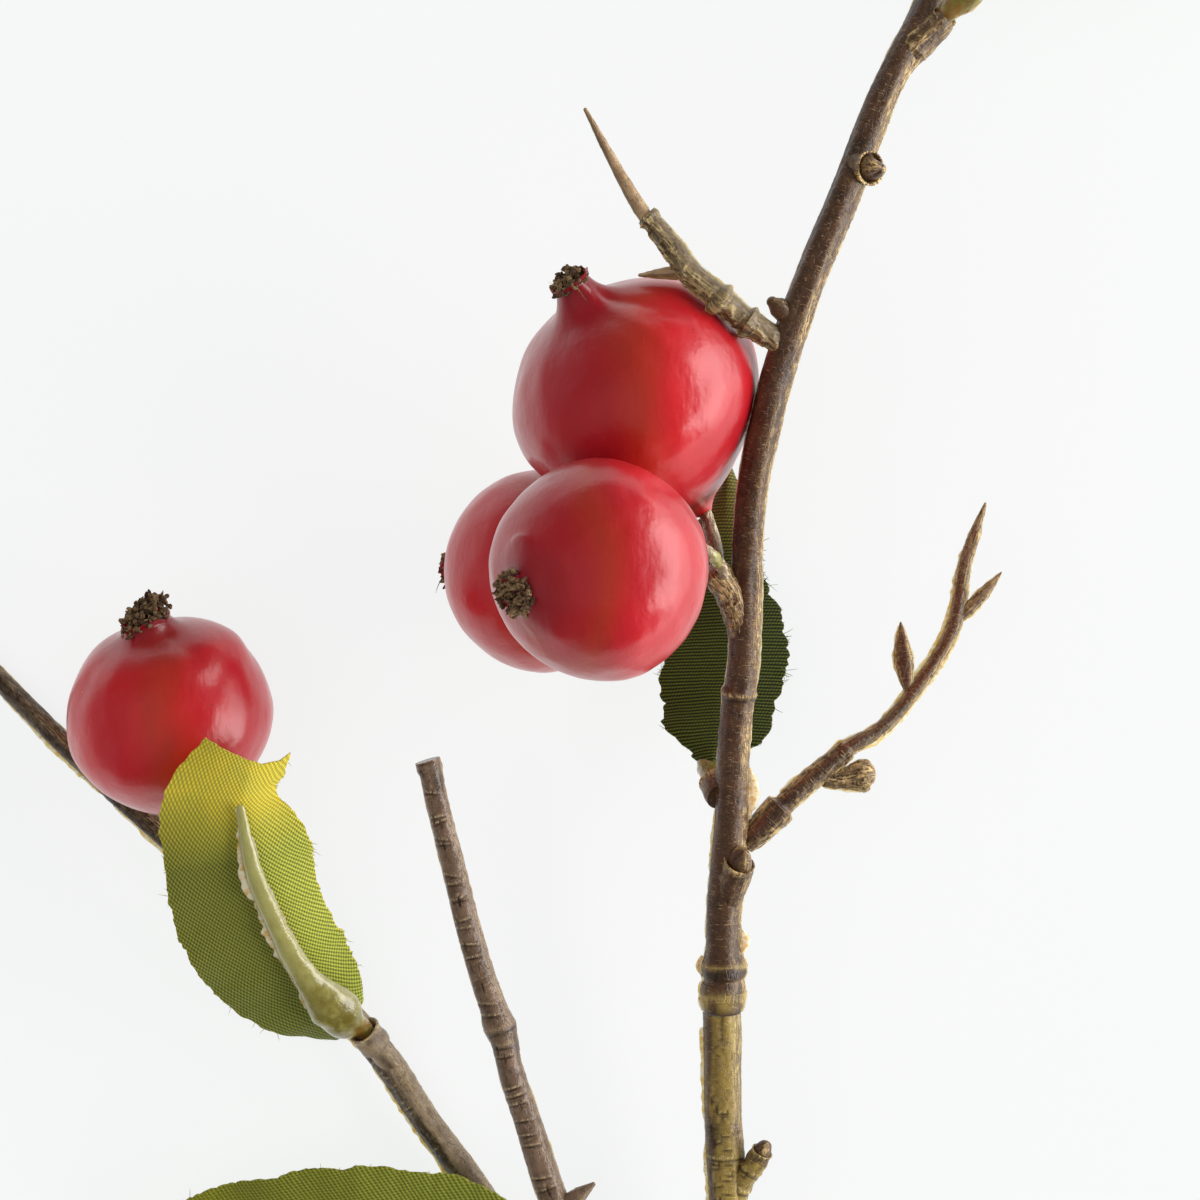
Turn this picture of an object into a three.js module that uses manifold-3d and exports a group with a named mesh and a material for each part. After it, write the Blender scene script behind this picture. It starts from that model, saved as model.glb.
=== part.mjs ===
// Artificial crabapple branch, lying on a level surface. Millimetres, +Z up, +Y towards the
// branch's upper end. The origin is on the surface, under the middle of the branch. Moulded twigs
// push into each other, four coated fruits stand on stalks, and four fabric leaves are glued to
// moulded ribs.
import * as THREE from 'three';
import { mergeVertices } from 'three/addons/utils/BufferGeometryUtils.js';
import Module from 'manifold-3d';

const wasm = await Module();
wasm.setup();

// ---- Driving dimensions ----
const GAP = 0.3; // clearance between pieces that touch
const PEG_RADIUS = 1.0; // peg that holds a side twig
const PLUG_RADIUS = 1.25; // blank plug in an unused cup
const CUP_WALL = 0.5;
const CUP_HEIGHT = 1.0; // cup rim above the point where the cup is set
const CUP_DEPTH = 1.6; // cup floor below that point
const BORE_RADIUS = PLUG_RADIUS + GAP;
const FOOT_RADIUS = 1.0; // a rib's foot in its cup
const LEAF_THICKNESS = 0.6;
const LEAF_TENSION = 0.4; // how tightly a leaf's outline follows its stations
const RIB_CLEARANCE = 0.4; // under a rib, because the sheet curves up on both sides of it
const RIB_FLATTEN = 0.5; // a rib's thickness over its width
const SAME_POINT = 1e-4; // corners closer than this are one corner
const FINEST = 0.02; // details smaller than this are dropped after a cut
const STICK_SIDES = 8;
const SPAN_RINGS = 2; // rings of a stick between two route points
const CUP_SIDES = 12;
const FRUIT_SIDES = 24;
const FRUIT_RINGS = 16;
const LEAF_STEPS_ALONG = 14;
const LEAF_STEPS_ACROSS = 6;

const UP = new THREE.Vector3(0, 0, 1);

// ---- Routes: each point is [x, y, z, radius] ----
const LOWER_STEM = [
  [21.1, -117, 2.65, 2.65], [22, -103.5, 4.4, 2.6], [22.3, -90, 6, 2.55], [22, -77, 7.8, 2.5],
  [21.6, -64, 9.8, 2.45], [21, -51, 11.8, 2.4], [20.8, -39.6, 13.6, 2.4],
];
const LOWER_PEG = [[20.8, -41.5, 13.3, 1.6], [21, -36, 14.1, 1.5]];
const MAIN_STEM = [
  [20.8, -39.2, 13.7, 2.6], [20.9, -37.6, 13.9, 2.95], [21, -35.8, 14.1, 2.6], [21, -33.8, 14.4, 2.85],
  [21, -32, 14.7, 2.25], [21, -27, 15.5, 2.15], [21.6, -20, 16.7, 2.3], [22, -12.4, 18, 2.05],
  [22.4, -2.2, 19.7, 2], [22.8, 1.4, 20.4, 2.3], [23, 3, 20.8, 2], [23.6, 11, 22.8, 2.05],
  [23.7, 18, 24.8, 1.95], [24.2, 26.6, 28, 1.95], [26.4, 37.6, 31.3, 2], [30.2, 49.9, 32.6, 2],
  [35.3, 62.3, 31.6, 1.95], [40.3, 75, 28.6, 1.85], [46.6, 88, 23.8, 1.8], [51.5, 99, 16.2, 1.6],
  [55, 108.5, 7.6, 1.4], [57.2, 114.4, 2.3, 1.3], [58.4, 118, 0.8, 0.7],
];
const STEM_BORE = [[20.8, -42, 13.2, 1.6], [21, -35.6, 14.2, 1.6]];
const FRUIT_SPUR = [[23.7, 10.4, 22.6, 1.5], [22, 14.2, 23.8, 1.6], [20.2, 16.6, 24.8, 1.75]];
const STEM_BUD = [[29.4, 47.4, 32.6, 0.9], [28, 48.2, 33, 1.3], [26.6, 49.4, 33.4, 0.6]];
const STUB = [[21.8, -65.6, 9.6, 1.3], [23.8, -61, 11.4, 1.4], [25.6, -58, 12.6, 1.5]];

const THORN_TWIG = [
  [29, 43.9, 31.9, 1.4], [26.6, 45, 32.7, 1.55], [23.5, 47.2, 33.4, 1.6], [22.8, 47.7, 33.5, 1.85],
  [20, 50, 34.2, 1.65], [19.2, 50.7, 34.3, 1.85], [16.6, 52.9, 34.2, 1.6], [14.1, 56.5, 33.6, 1.45],
  [10.8, 60.4, 33, 1.2],
];
const THORN = [
  [11.6, 58.9, 33, 0.6], [8.6, 63.9, 33, 0.75], [5.9, 68.8, 33.3, 0.5], [3.3, 73.7, 33.5, 0.15],
];
const SIDE_THORN = [[16.2, 53.2, 34, 0.7], [13, 53.1, 33.2, 0.7], [10, 53, 32, 0.2]];

const BUD_TWIG = [
  [22.4, -19.4, 15.6, 1.6], [25.3, -16.4, 16.2, 1.9], [28.6, -13, 16.4, 1.9], [29.2, -12.4, 16.4, 1.55],
  [33.8, -8.4, 15.8, 1.5], [37, -5.9, 15.2, 1.3], [40.1, -4.1, 14.4, 1.1], [46.4, 2.7, 12.4, 1.1],
  [50.6, 9.7, 10.6, 1.1], [52.1, 17.4, 9, 0.8], [54.9, 25.6, 7.8, 0.2],
];
const THUMB = [[33.2, -8.8, 16.1, 0.9], [35.6, -9.5, 16, 0.9], [37.8, -9.6, 16, 1.25]];
const LOWER_BUD = [[44.3, 0.4, 13.3, 0.5], [43.9, 5, 12.8, 1.25], [43.4, 10, 12, 0.2]];
const UPPER_BUD = [[50.9, 10.2, 10.5, 0.5], [53.8, 12.8, 10, 0.85], [57, 16.1, 9.5, 0.2]];

const LEFT_TWIG = [
  [22, -98.9, 5, 1.8], [17, -94.4, 4.8, 2.1], [12, -89.5, 4.7, 2.1], [6.7, -84.3, 4.6, 2.3],
  [0.1, -76.3, 4.2, 2.1], [-6.1, -69.9, 4, 2], [-11.6, -62.1, 3.9, 1.9], [-17.3, -54.4, 3.8, 1.85],
  [-22.4, -46.6, 3.7, 1.9], [-27.7, -40.2, 3.6, 1.8], [-34.8, -33.1, 3.4, 1.65], [-43.3, -24.7, 3, 1.55],
  [-51.7, -17.2, 2.6, 1.5], [-60.3, -9.4, 2.4, 1.45], [-67.3, -2.7, 2.4, 1.4], [-77.5, 7.7, 1.7, 1.2],
  [-82.6, 13.2, 0.95, 0.9], [-84, 15.2, 0.6, 0.4],
];
const LEAF_SPUR = [[-22, -46.4, 4, 1.2], [-23.6, -44.6, 6, 1.45], [-24.4, -43.4, 6.9, 1.5]];
const BOTTOM_SPUR = [[-1.2, -75.4, 4.4, 1.2], [-1.9, -74.1, 6, 1.45], [-2.4, -73.2, 6.9, 1.5]];

const PEG_TWIG = [
  [6.7, -84.3, 4.6, 1.7], [5, -80.4, 6, 1.9], [3.4, -75.3, 7, 1.9], [0.8, -68, 8.4, 1.85],
  [-1.6, -61.4, 9.6, 1.85], [-4, -53.6, 10.8, 1.7], [-6.4, -45.8, 12, 1.6], [-7.6, -40.7, 12.8, 1.95],
  [-9.6, -35.5, 13.4, 1.6], [-11.7, -27.8, 14.6, 1.55], [-13.5, -20.1, 15.8, 1.5], [-16, -9.9, 17, 1.4],
  [-16.6, -7.3, 17.2, 1.4],
];
const PEG_BUD = [[-0.2, -64.8, 9.2, 0.7], [2.4, -63.4, 9.8, 1], [4.6, -61.6, 10.2, 0.3]];

// Pegs of the side twigs: from inside the twig's foot to inside the stem or twig that holds it.
const THORN_TWIG_PEG = [[25.6, 45.7, 32.9, PEG_RADIUS], [28.6, 44, 32.1, PEG_RADIUS]];
const BUD_TWIG_PEG = [[25.6, -16.1, 16.3, PEG_RADIUS], [22.8, -19, 15.8, PEG_RADIUS]];
const LEFT_TWIG_PEG = [[17.6, -94.9, 4.9, PEG_RADIUS], [21.4, -98.4, 5, PEG_RADIUS]];
const PEG_TWIG_PEG = [[4.6, -79.6, 6.2, PEG_RADIUS], [6.2, -83.2, 5.1, PEG_RADIUS]];

// Cups and the blank plugs that close them: where the cup stands and the way that it faces.
const UPPER_CUP = { at: [38.1, 66.3, 31.7], facing: [0.62, -0.08, 0.78] };
const FORK_CUP = { at: [22.5, -21.3, 18.7], facing: [0.42, 0.1, 0.9] };
const STUB_CUP = { at: [25.7, -57.9, 12.6], facing: [0.45, 0.77, 0.42] };
const TOP_LEAF_CUP = { at: [47.8, 85.2, 26.2], facing: [0.5, 0.62, 0.6] };
const LEFT_LEAF_CUP = { at: [-24.6, -43.1, 7.1], facing: [-0.52, 0.68, 0.52] };
const BOTTOM_LEAF_CUP = { at: [-2.4, -73, 7.1], facing: [-0.62, 0.42, 0.66] };
const REAR_LEAF_CUP = { at: [20.2, -10.6, 15.9], facing: [-0.32, 0.62, -0.72] };

// ---- Fruits ----
// centre is the middle of the widest ring and axis the way the calyx points. crown and tail are the
// lengths from that ring to the calyx's neck and to the stalk, taper is how much the tail narrows,
// and neck is how far the neck stands up.
const FRUITS = {
  top: {
    centre: [9.9, 38.3, 26], axis: [-0.47, 0.79, 0.4],
    radius: 15.7, crown: 14, tail: 17.2, taper: 0.38, neck: 3,
  },
  front: {
    centre: [5.3, 16.6, 45.1], axis: [-0.73, -0.21, 0.65],
    radius: 13.5, crown: 12.9, tail: 13.4, taper: 0.14, neck: 1.4,
  },
  back: {
    centre: [-1.7, 16.6, 12.9], axis: [-0.86, 0.03, -0.5],
    radius: 12.95, crown: 12.6, tail: 13, taper: 0.14, neck: 1.4,
  },
  left: {
    centre: [-49.4, -2.7, 12.65], axis: [-0.19, 0.91, 0.36],
    radius: 13, crown: 12, tail: 12.6, taper: 0.22, neck: 2,
  },
};
const TAPER_POWER = 1.5; // how late the narrowing sets in towards the stalk
const NECK_RADIUS = 2.9;
const TUFT_RADIUS = 2.7;
const TUFT_HEIGHT = 2.4;

const STALKS = {
  top: [[20, 17, 25, 0.8], [19.5, 20.5, 22, 0.9], [18.3, 24.2, 19.3, 0.8], [17, 26.4, 20, 0.8]],
  front: [[21, 15.6, 25, 0.8], [19.8, 17.8, 30, 0.85], [16.6, 19.6, 35.4, 0.8], [13.4, 19.1, 38, 0.8]],
  back: [[20.8, 15.6, 23.8, 0.8], [15, 15.9, 21.8, 0.8], [10, 16.1, 19.6, 0.8], [7.6, 16.2, 18.3, 0.8]],
  left: [[-46.5, -21.9, 2.9, 0.9], [-46, -18.8, 6, 0.8], [-46.8, -14.6, 8, 0.8], [-47.4, -12.4, 9, 0.8]],
};

// ---- Leaves ----
// Stations go from base to tip: [x, y, z, width to the left, width to the right, rib radius].
// lift is how far the edges stand above the middle, on the side that the leaf faces. The rib is on
// that side.
const LEAVES = {
  left: {
    facing: [0.15, -0.45, 0.88], lift: -2, cup: LEFT_LEAF_CUP,
    stations: [
      [-26.9, -40.9, 7.4, 4.5, 2.5, 1.7], [-29.3, -38.3, 9.2, 8.7, 5, 2.3],
      [-32.9, -33.5, 13, 11.5, 6.4, 1.7], [-35.8, -27.5, 17.7, 12.5, 6.4, 1.45],
      [-38.5, -19.7, 22.9, 11, 7.8, 1.2], [-39.6, -12.7, 26.2, 9.4, 6.4, 0.5],
      [-38.2, -5.9, 28.2, 5.5, 5.6, 0],
    ],
  },
  rear: {
    facing: [0.1, -0.2, -0.98], lift: 1.2, cup: REAR_LEAF_CUP,
    stations: [
      [19.7, -7.6, 12.6, 1.6, 1.4, 1.5], [19.9, -4.6, 11.2, 5.6, 5.2, 1.6], [20.3, 0.4, 9.2, 7.4, 7.2, 1.3],
      [20.7, 5.6, 7.6, 8.8, 7.8, 1.1], [21, 11.6, 6, 7.2, 7, 0.9], [21.3, 18, 4.6, 5, 5, 0.7],
      [21.6, 24.4, 3.4, 3, 3, 0.4], [21.9, 30.2, 2.4, 0.5, 0.5, 0],
    ],
  },
  bottom: {
    facing: [0, 0.45, -0.89], lift: 1.4, cup: BOTTOM_LEAF_CUP,
    stations: [
      [-4.4, -70.9, 9.8, 2.2, 2.2, 1.5], [-6.6, -70.3, 10.1, 5.4, 5.4, 1.8], [-12, -69.3, 10.4, 8, 8, 1.6],
      [-20, -68.9, 10.6, 9.6, 9.6, 1.3], [-29, -68.9, 10.3, 9.8, 9.8, 1.1],
      [-38, -69.2, 9.2, 8.4, 8.4, 0.8], [-46, -69.8, 7.6, 6, 6, 0.5], [-54, -71, 5.6, 0.5, 0.5, 0],
    ],
  },
  top: {
    facing: [0.3, -0.35, -0.88], lift: 1.4, cup: TOP_LEAF_CUP,
    stations: [
      [50.8, 88.8, 28.4, 1.6, 1.6, 1.5], [52.6, 91.6, 28.8, 4, 3.6, 1.9], [56.2, 96.4, 28.2, 8, 7.8, 1.5],
      [61.6, 101.8, 25.6, 10, 10, 1.2], [68, 106, 21, 10, 10, 1], [74, 108.6, 15.4, 8, 8, 0.8],
      [79, 110.2, 9.6, 5, 5, 0.5], [82.6, 111, 3.8, 0.5, 0.5, 0],
    ],
  },
};

// ---- Materials ----
function plastic(color, roughness = 0.6) {
  return new THREE.MeshStandardMaterial({ color, roughness, metalness: 0 });
}
const bark = () => plastic(0x4d3829);
const paleBark = () => plastic(0x6b5a48);
const oliveBark = () => plastic(0x6f5a2d);
const plugBrown = () => plastic(0x5c4434);
const fruitCoat = () => plastic(0xab2a31, 0.32);
const calyxCrumb = () => plastic(0x46301f, 0.95);
const stalkBrown = () => plastic(0x8a7762, 0.5);
const leafFabric = () => plastic(0x6f7a2a, 0.85);
const ribPlastic = () => plastic(0xa89c58, 0.35);

// ---- Geometry helpers ----
const point = ([x, y, z]) => new THREE.Vector3(x, y, z);

// Keeps positions only, joins equal corners and drops the triangles that close up at a pole.
function welded(geometry) {
  const bare = geometry.clone();
  Object.keys(bare.attributes)
    .filter((key) => key !== 'position')
    .forEach((key) => bare.deleteAttribute(key));
  const closed = mergeVertices(bare, SAME_POINT);
  const corners = closed.index.array;
  const kept = [];
  for (let i = 0; i < corners.length; i += 3) {
    const [a, b, c] = corners.slice(i, i + 3);
    if (a !== b && b !== c && c !== a) kept.push(a, b, c);
  }
  closed.setIndex(kept);
  return closed;
}

function solidOf(geometry) {
  const closed = welded(geometry);
  return new wasm.Manifold(new wasm.Mesh({
    numProp: 3,
    vertProperties: new Float32Array(closed.attributes.position.array),
    triVerts: new Uint32Array(closed.index.array),
  }));
}

function geometryOf(solid) {
  const { vertProperties, triVerts } = solid.simplify(FINEST).getMesh();
  const geometry = new THREE.BufferGeometry();
  geometry.setAttribute('position', new THREE.BufferAttribute(vertProperties, 3));
  geometry.setIndex(new THREE.BufferAttribute(triVerts, 1));
  return geometry;
}

// Lathes are turned round +Y; this is the turn that makes one face along a direction.
function turnTo(direction) {
  const lathed = new THREE.Vector3(0, 1, 0);
  return new THREE.Quaternion().setFromUnitVectors(lathed, direction.clone().normalize());
}

function placed(geometry, at, facing) {
  return geometry.clone().applyQuaternion(turnTo(point(facing))).translate(...at);
}

// A closed stick: a lathe whose axis is bent along a smooth curve through the route. grow makes it
// thicker all round and longer at both ends, and flatten squeezes it towards the side it faces.
function stick(route, { grow = 0, flatten = 1, facing = UP } = {}) {
  const rings = (route.length - 1) * SPAN_RINGS;
  const curve = new THREE.CatmullRomCurve3(route.map(point), false, 'centripetal');
  const profile = [new THREE.Vector2(0, 0)];
  for (let ring = 0; ring <= rings; ring += 1) {
    const span = Math.min(Math.floor(ring / SPAN_RINGS), route.length - 2);
    const along = ring / SPAN_RINGS - span;
    const radius = THREE.MathUtils.lerp(route[span][3], route[span + 1][3], along);
    profile.push(new THREE.Vector2(radius + grow, ring));
  }
  profile.push(new THREE.Vector2(0, rings));

  const frames = [];
  let normal = facing.clone();
  for (let ring = 0; ring <= rings; ring += 1) {
    const tangent = curve.getTangent(ring / rings);
    normal = normal.clone().addScaledVector(tangent, -normal.dot(tangent)).normalize();
    const beyond = grow * (Number(ring === rings) - Number(ring === 0));
    const centre = curve.getPoint(ring / rings).addScaledVector(tangent, beyond);
    frames.push({ centre, normal, side: normal.clone().cross(tangent) });
  }

  const geometry = new THREE.LatheGeometry(profile, STICK_SIDES);
  const { position } = geometry.attributes;
  for (let i = 0; i < position.count; i += 1) {
    const { centre, normal: out, side } = frames[Math.round(position.getY(i))];
    const moved = centre.clone()
      .addScaledVector(out, position.getX(i) * flatten)
      .addScaledVector(side, position.getZ(i));
    position.setXYZ(i, moved.x, moved.y, moved.z);
  }
  return solidOf(geometry);
}

const join = (first, ...others) => others.reduce((whole, other) => whole.add(other), first);
const cut = (first, ...others) => others.reduce((whole, other) => whole.subtract(other), first);

function largest(solid) {
  return solid.decompose().reduce((best, body) => (body.volume() > best.volume() ? body : best));
}

// Cuts a side stick's foot back to a saddle that is GAP clear of the stick that holds it.
const saddle = (side, hostRoute) => largest(side.subtract(stick(hostRoute, { grow: GAP })));

// A lipped cup is a short round boss. cupBore is the hole in it, and plug the blank peg that closes
// the hole.
function turned(profile, { at, facing }) {
  const outline = profile.map(([radius, height]) => new THREE.Vector2(radius, height));
  return placed(new THREE.LatheGeometry(outline, CUP_SIDES), at, facing);
}
const cupBoss = (cup) => solidOf(turned([
  [0, -CUP_DEPTH - CUP_WALL], [BORE_RADIUS, -CUP_DEPTH - CUP_WALL], [BORE_RADIUS + CUP_WALL, -CUP_DEPTH],
  [BORE_RADIUS + CUP_WALL, CUP_HEIGHT], [0, CUP_HEIGHT],
], cup));
const cupBore = (cup) => solidOf(turned([
  [0, -CUP_DEPTH], [BORE_RADIUS, -CUP_DEPTH], [BORE_RADIUS, CUP_HEIGHT * 3], [0, CUP_HEIGHT * 3],
], cup));
const plug = (cup) => turned([
  [0, -CUP_DEPTH + GAP], [PLUG_RADIUS, -CUP_DEPTH + GAP], [PLUG_RADIUS, CUP_HEIGHT],
  [PLUG_RADIUS * 0.85, CUP_HEIGHT * 1.5], [PLUG_RADIUS * 0.5, CUP_HEIGHT * 1.8], [0, CUP_HEIGHT * 1.9],
], cup);

// A fruit's body is a ball that narrows towards its stalk, with a round neck under the calyx.
function fruitShape({ radius, crown, tail, taper, neck }) {
  const outline = [];
  for (let ring = 0; ring <= FRUIT_RINGS; ring += 1) {
    const rise = -Math.cos((Math.PI * ring) / FRUIT_RINGS);
    const narrowing = rise < 0 ? 1 - taper * (-rise) ** TAPER_POWER : 1;
    const width = radius * Math.sqrt(Math.max(0, 1 - rise * rise)) * narrowing;
    const height = rise < 0 ? tail * rise : crown * rise;
    if (rise < 0 || width > NECK_RADIUS * 1.3) outline.push(new THREE.Vector2(width, height));
  }
  outline[0].x = 0;
  outline.push(new THREE.Vector2(NECK_RADIUS, crown + neck * 0.3));
  outline.push(new THREE.Vector2(NECK_RADIUS * 0.9, crown + neck));
  outline.push(new THREE.Vector2(0, crown + neck));
  return new THREE.LatheGeometry(outline, FRUIT_SIDES);
}

// The calyx is a rough round tuft on the neck's end.
function tuftShape() {
  const outline = [
    [0, 0], [TUFT_RADIUS * 0.7, 0], [TUFT_RADIUS, TUFT_HEIGHT * 0.45],
    [TUFT_RADIUS * 0.7, TUFT_HEIGHT * 0.95], [0, TUFT_HEIGHT],
  ].map(([radius, height]) => new THREE.Vector2(radius, height));
  return new THREE.LatheGeometry(outline, STICK_SIDES);
}

// Gives the leaf's middle, directions and widths at any place between 0, the base, and 1, the tip.
function leafFrame({ stations, facing }) {
  const spine = new THREE.CatmullRomCurve3(stations.map(point), false, 'centripetal');
  const widths = stations.map((station) => new THREE.Vector3(station[3], station[4], 0));
  const outline = new THREE.CatmullRomCurve3(widths, false, 'catmullrom', LEAF_TENSION);
  return (along) => {
    const tangent = spine.getTangent(along);
    const out = point(facing);
    out.addScaledVector(tangent, -out.dot(tangent)).normalize();
    const { x: left, y: right } = outline.getPoint(along);
    return { centre: spine.getPoint(along), out, across: tangent.clone().cross(out), left, right };
  };
}

// A leaf's sheet is a thin slab bent to its spine, as wide as its outline and lifted at its edges.
function leafShape(leaf) {
  const frameAt = leafFrame(leaf);
  const slab = new THREE.BoxGeometry(1, 1, 1, LEAF_STEPS_ACROSS, LEAF_STEPS_ALONG, 1);
  const { position } = slab.attributes;
  for (let i = 0; i < position.count; i += 1) {
    const side = position.getX(i) * 2;
    const { centre, out, across, left, right } = frameAt(position.getY(i) + 0.5);
    const reach = side < 0 ? side * left : side * right;
    const height = leaf.lift * side * side + position.getZ(i) * LEAF_THICKNESS;
    const moved = centre.clone().addScaledVector(across, reach).addScaledVector(out, height);
    position.setXYZ(i, moved.x, moved.y, moved.z);
  }
  return solidOf(slab);
}

// The sheet has a notch at its base where the rib's foot passes it. Dividing by RIB_FLATTEN leaves
// GAP on the rib's flat side.
function notchedLeaf(leaf) {
  const foot = ribRoute(leaf).slice(0, 4);
  const options = { grow: GAP / RIB_FLATTEN, flatten: RIB_FLATTEN, facing: point(leaf.facing) };
  return largest(leafShape(leaf).subtract(stick(foot, options)));
}

// The rib lies along the middle of its sheet, and its foot stands in the twig's cup.
function ribRoute(leaf) {
  const foot = point(leaf.cup.facing).normalize();
  const frameAt = leafFrame(leaf);
  const standing = [-CUP_DEPTH + GAP, CUP_HEIGHT].map((height) => (
    [...point(leaf.cup.at).addScaledVector(foot, height), FOOT_RADIUS]
  ));
  const lying = leaf.stations.map(([, , , , , radius], i) => {
    const { centre, out } = frameAt(i / (leaf.stations.length - 1));
    const height = LEAF_THICKNESS / 2 + RIB_CLEARANCE + radius * RIB_FLATTEN;
    return [...centre.addScaledVector(out, height), radius];
  });
  return [...standing, ...lying.filter(([, , , radius]) => radius > 0)];
}
const rib = (leaf) => stick(ribRoute(leaf), { flatten: RIB_FLATTEN, facing: point(leaf.facing) });

// ---- The branch ----
const branch = new THREE.Group();

function add(name, shape, material) {
  const geometry = shape.isBufferGeometry ? shape : geometryOf(shape);
  const mesh = new THREE.Mesh(geometry, material);
  mesh.name = name;
  branch.add(mesh);
  return mesh;
}

// Twigs
const socket = (peg) => stick(peg, { grow: GAP });
const sticks = (...routes) => join(...routes.map((route) => stick(route)));
const stemCups = [UPPER_CUP, FORK_CUP, TOP_LEAF_CUP, REAR_LEAF_CUP];
const lowerStem = cut(
  join(sticks(LOWER_STEM, LOWER_PEG, STUB), cupBoss(STUB_CUP)),
  cupBore(STUB_CUP),
  socket(LEFT_TWIG_PEG),
);
const mainStem = cut(
  join(sticks(MAIN_STEM, FRUIT_SPUR, STEM_BUD), ...stemCups.map(cupBoss)),
  ...stemCups.map(cupBore),
  socket(STEM_BORE),
  socket(THORN_TWIG_PEG),
  socket(BUD_TWIG_PEG),
);
const thornTwig = join(
  saddle(sticks(THORN_TWIG, THORN, SIDE_THORN), MAIN_STEM),
  stick(THORN_TWIG_PEG),
);
const budTwig = join(
  saddle(sticks(BUD_TWIG, THUMB, LOWER_BUD, UPPER_BUD), MAIN_STEM),
  stick(BUD_TWIG_PEG),
);
const leftTwig = cut(
  join(
    saddle(stick(LEFT_TWIG), LOWER_STEM),
    sticks(LEFT_TWIG_PEG, LEAF_SPUR, BOTTOM_SPUR),
    cupBoss(LEFT_LEAF_CUP),
    cupBoss(BOTTOM_LEAF_CUP),
  ),
  cupBore(LEFT_LEAF_CUP),
  cupBore(BOTTOM_LEAF_CUP),
  socket(PEG_TWIG_PEG),
);
const pegTwig = join(saddle(sticks(PEG_TWIG, PEG_BUD), LEFT_TWIG), stick(PEG_TWIG_PEG));
add('lower_stem', lowerStem, oliveBark());
add('main_stem', mainStem, bark());
add('thorn_twig', thornTwig, paleBark());
add('bud_twig', budTwig, bark());
add('left_twig', leftTwig, paleBark());
add('peg_twig', pegTwig, paleBark());

// Blank plugs in the unused cups
Object.entries({ upper: UPPER_CUP, fork: FORK_CUP, stub: STUB_CUP })
  .forEach(([name, cup]) => add(`${name}_plug`, plug(cup), plugBrown()));

// Fruits with their tufts and stalks
const stalkHosts = { top: FRUIT_SPUR, front: FRUIT_SPUR, back: FRUIT_SPUR, left: LEFT_TWIG };
Object.entries(FRUITS).forEach(([name, fruit]) => {
  const axis = point(fruit.axis).normalize();
  const turn = turnTo(axis);
  const toFruit = new THREE.Matrix4().makeRotationFromQuaternion(turn);
  toFruit.setPosition(...fruit.centre).invert();
  const stalkHole = solidOf(geometryOf(stick(STALKS[name], { grow: GAP })).applyMatrix4(toFruit));
  const body = add(`${name}_fruit`, cut(solidOf(fruitShape(fruit)), stalkHole), fruitCoat());
  body.position.copy(point(fruit.centre));
  body.quaternion.copy(turn);
  const tuft = add(`${name}_calyx`, tuftShape(), calyxCrumb());
  tuft.position.copy(body.position).addScaledVector(axis, fruit.crown + fruit.neck + GAP);
  tuft.quaternion.copy(turn);
  add(`${name}_stalk`, saddle(stick(STALKS[name]), stalkHosts[name]), stalkBrown());
});

// Leaves with their ribs
Object.entries(LEAVES).forEach(([name, leaf]) => {
  add(`${name}_leaf`, notchedLeaf(leaf), leafFabric());
  add(`${name}_rib`, rib(leaf), ribPlastic());
});

export default branch;
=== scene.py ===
# %% [markdown]
# # An artificial crabapple branch, made from worked-out surfaces
# The real thing is a craft-shop spray: twigs moulded in brown plastic push into one another, four
# coated fruits hang on short stalks, and woven fabric leaves are glued to moulded ribs. The branch
# lies on a pale surface and is seen from straight above. Each piece could be sculpted by hand, or
# bought as a scan. Here each one is a surface worked out with numpy, because then its size, its
# relief and its paint all come from a few numbers that a reader can change.
#
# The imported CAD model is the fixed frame. It gives each piece its place.

# %% The fixed frame
import math
from types import SimpleNamespace

import bpy
import numpy as np
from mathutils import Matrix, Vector


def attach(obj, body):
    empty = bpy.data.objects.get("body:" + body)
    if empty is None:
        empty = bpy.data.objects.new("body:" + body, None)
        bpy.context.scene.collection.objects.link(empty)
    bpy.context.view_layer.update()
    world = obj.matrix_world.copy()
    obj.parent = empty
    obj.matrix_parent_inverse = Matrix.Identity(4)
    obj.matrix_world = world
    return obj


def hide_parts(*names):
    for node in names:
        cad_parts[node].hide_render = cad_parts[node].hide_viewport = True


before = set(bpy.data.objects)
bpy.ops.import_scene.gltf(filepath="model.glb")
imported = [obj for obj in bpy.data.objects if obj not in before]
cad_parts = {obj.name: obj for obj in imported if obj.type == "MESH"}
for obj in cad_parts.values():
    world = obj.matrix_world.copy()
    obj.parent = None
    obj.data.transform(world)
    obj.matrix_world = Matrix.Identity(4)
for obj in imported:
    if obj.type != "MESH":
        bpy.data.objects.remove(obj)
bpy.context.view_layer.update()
MM = 0.001

# %% [markdown]
# ## The eye
# The camera looks straight down from 620 mm, a little above arm's length, with a long lens. A long
# lens keeps the sizes of near and far fruits alike.

# %% Camera
EYE_PLACE = (0.0053, 0.0129, 0.620)
eye = bpy.data.cameras.new("eye")
eye.sensor_width = 36
eye.lens = 142.86
eye.clip_start, eye.clip_end = 0.05, 5
camera = bpy.data.objects.new("eye", eye)
camera.location = EYE_PLACE
bpy.context.scene.collection.objects.link(camera)
bpy.context.scene.camera = camera
bpy.context.scene.view_settings.view_transform = "Standard"
print("the eye stands", EYE_PLACE[2], "m above the surface, with a lens of", round(eye.lens), "mm")

# %% [markdown]
# ## Lines
# A twig, a rib, a stalk and a leaf all follow a bent line. The line could be a Blender curve, but a
# curve gives no say over each ring of its skin. So a line here is a set of arrays: for each ring its
# middle, the way ahead, the way up and the way to the side.

# %% Smooth lines


def unit(vectors):
    """Each vector divided by its own length."""
    vectors = np.asarray(vectors, float)
    return vectors / np.maximum(np.linalg.norm(vectors, axis=-1, keepdims=True), 1e-12)


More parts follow.
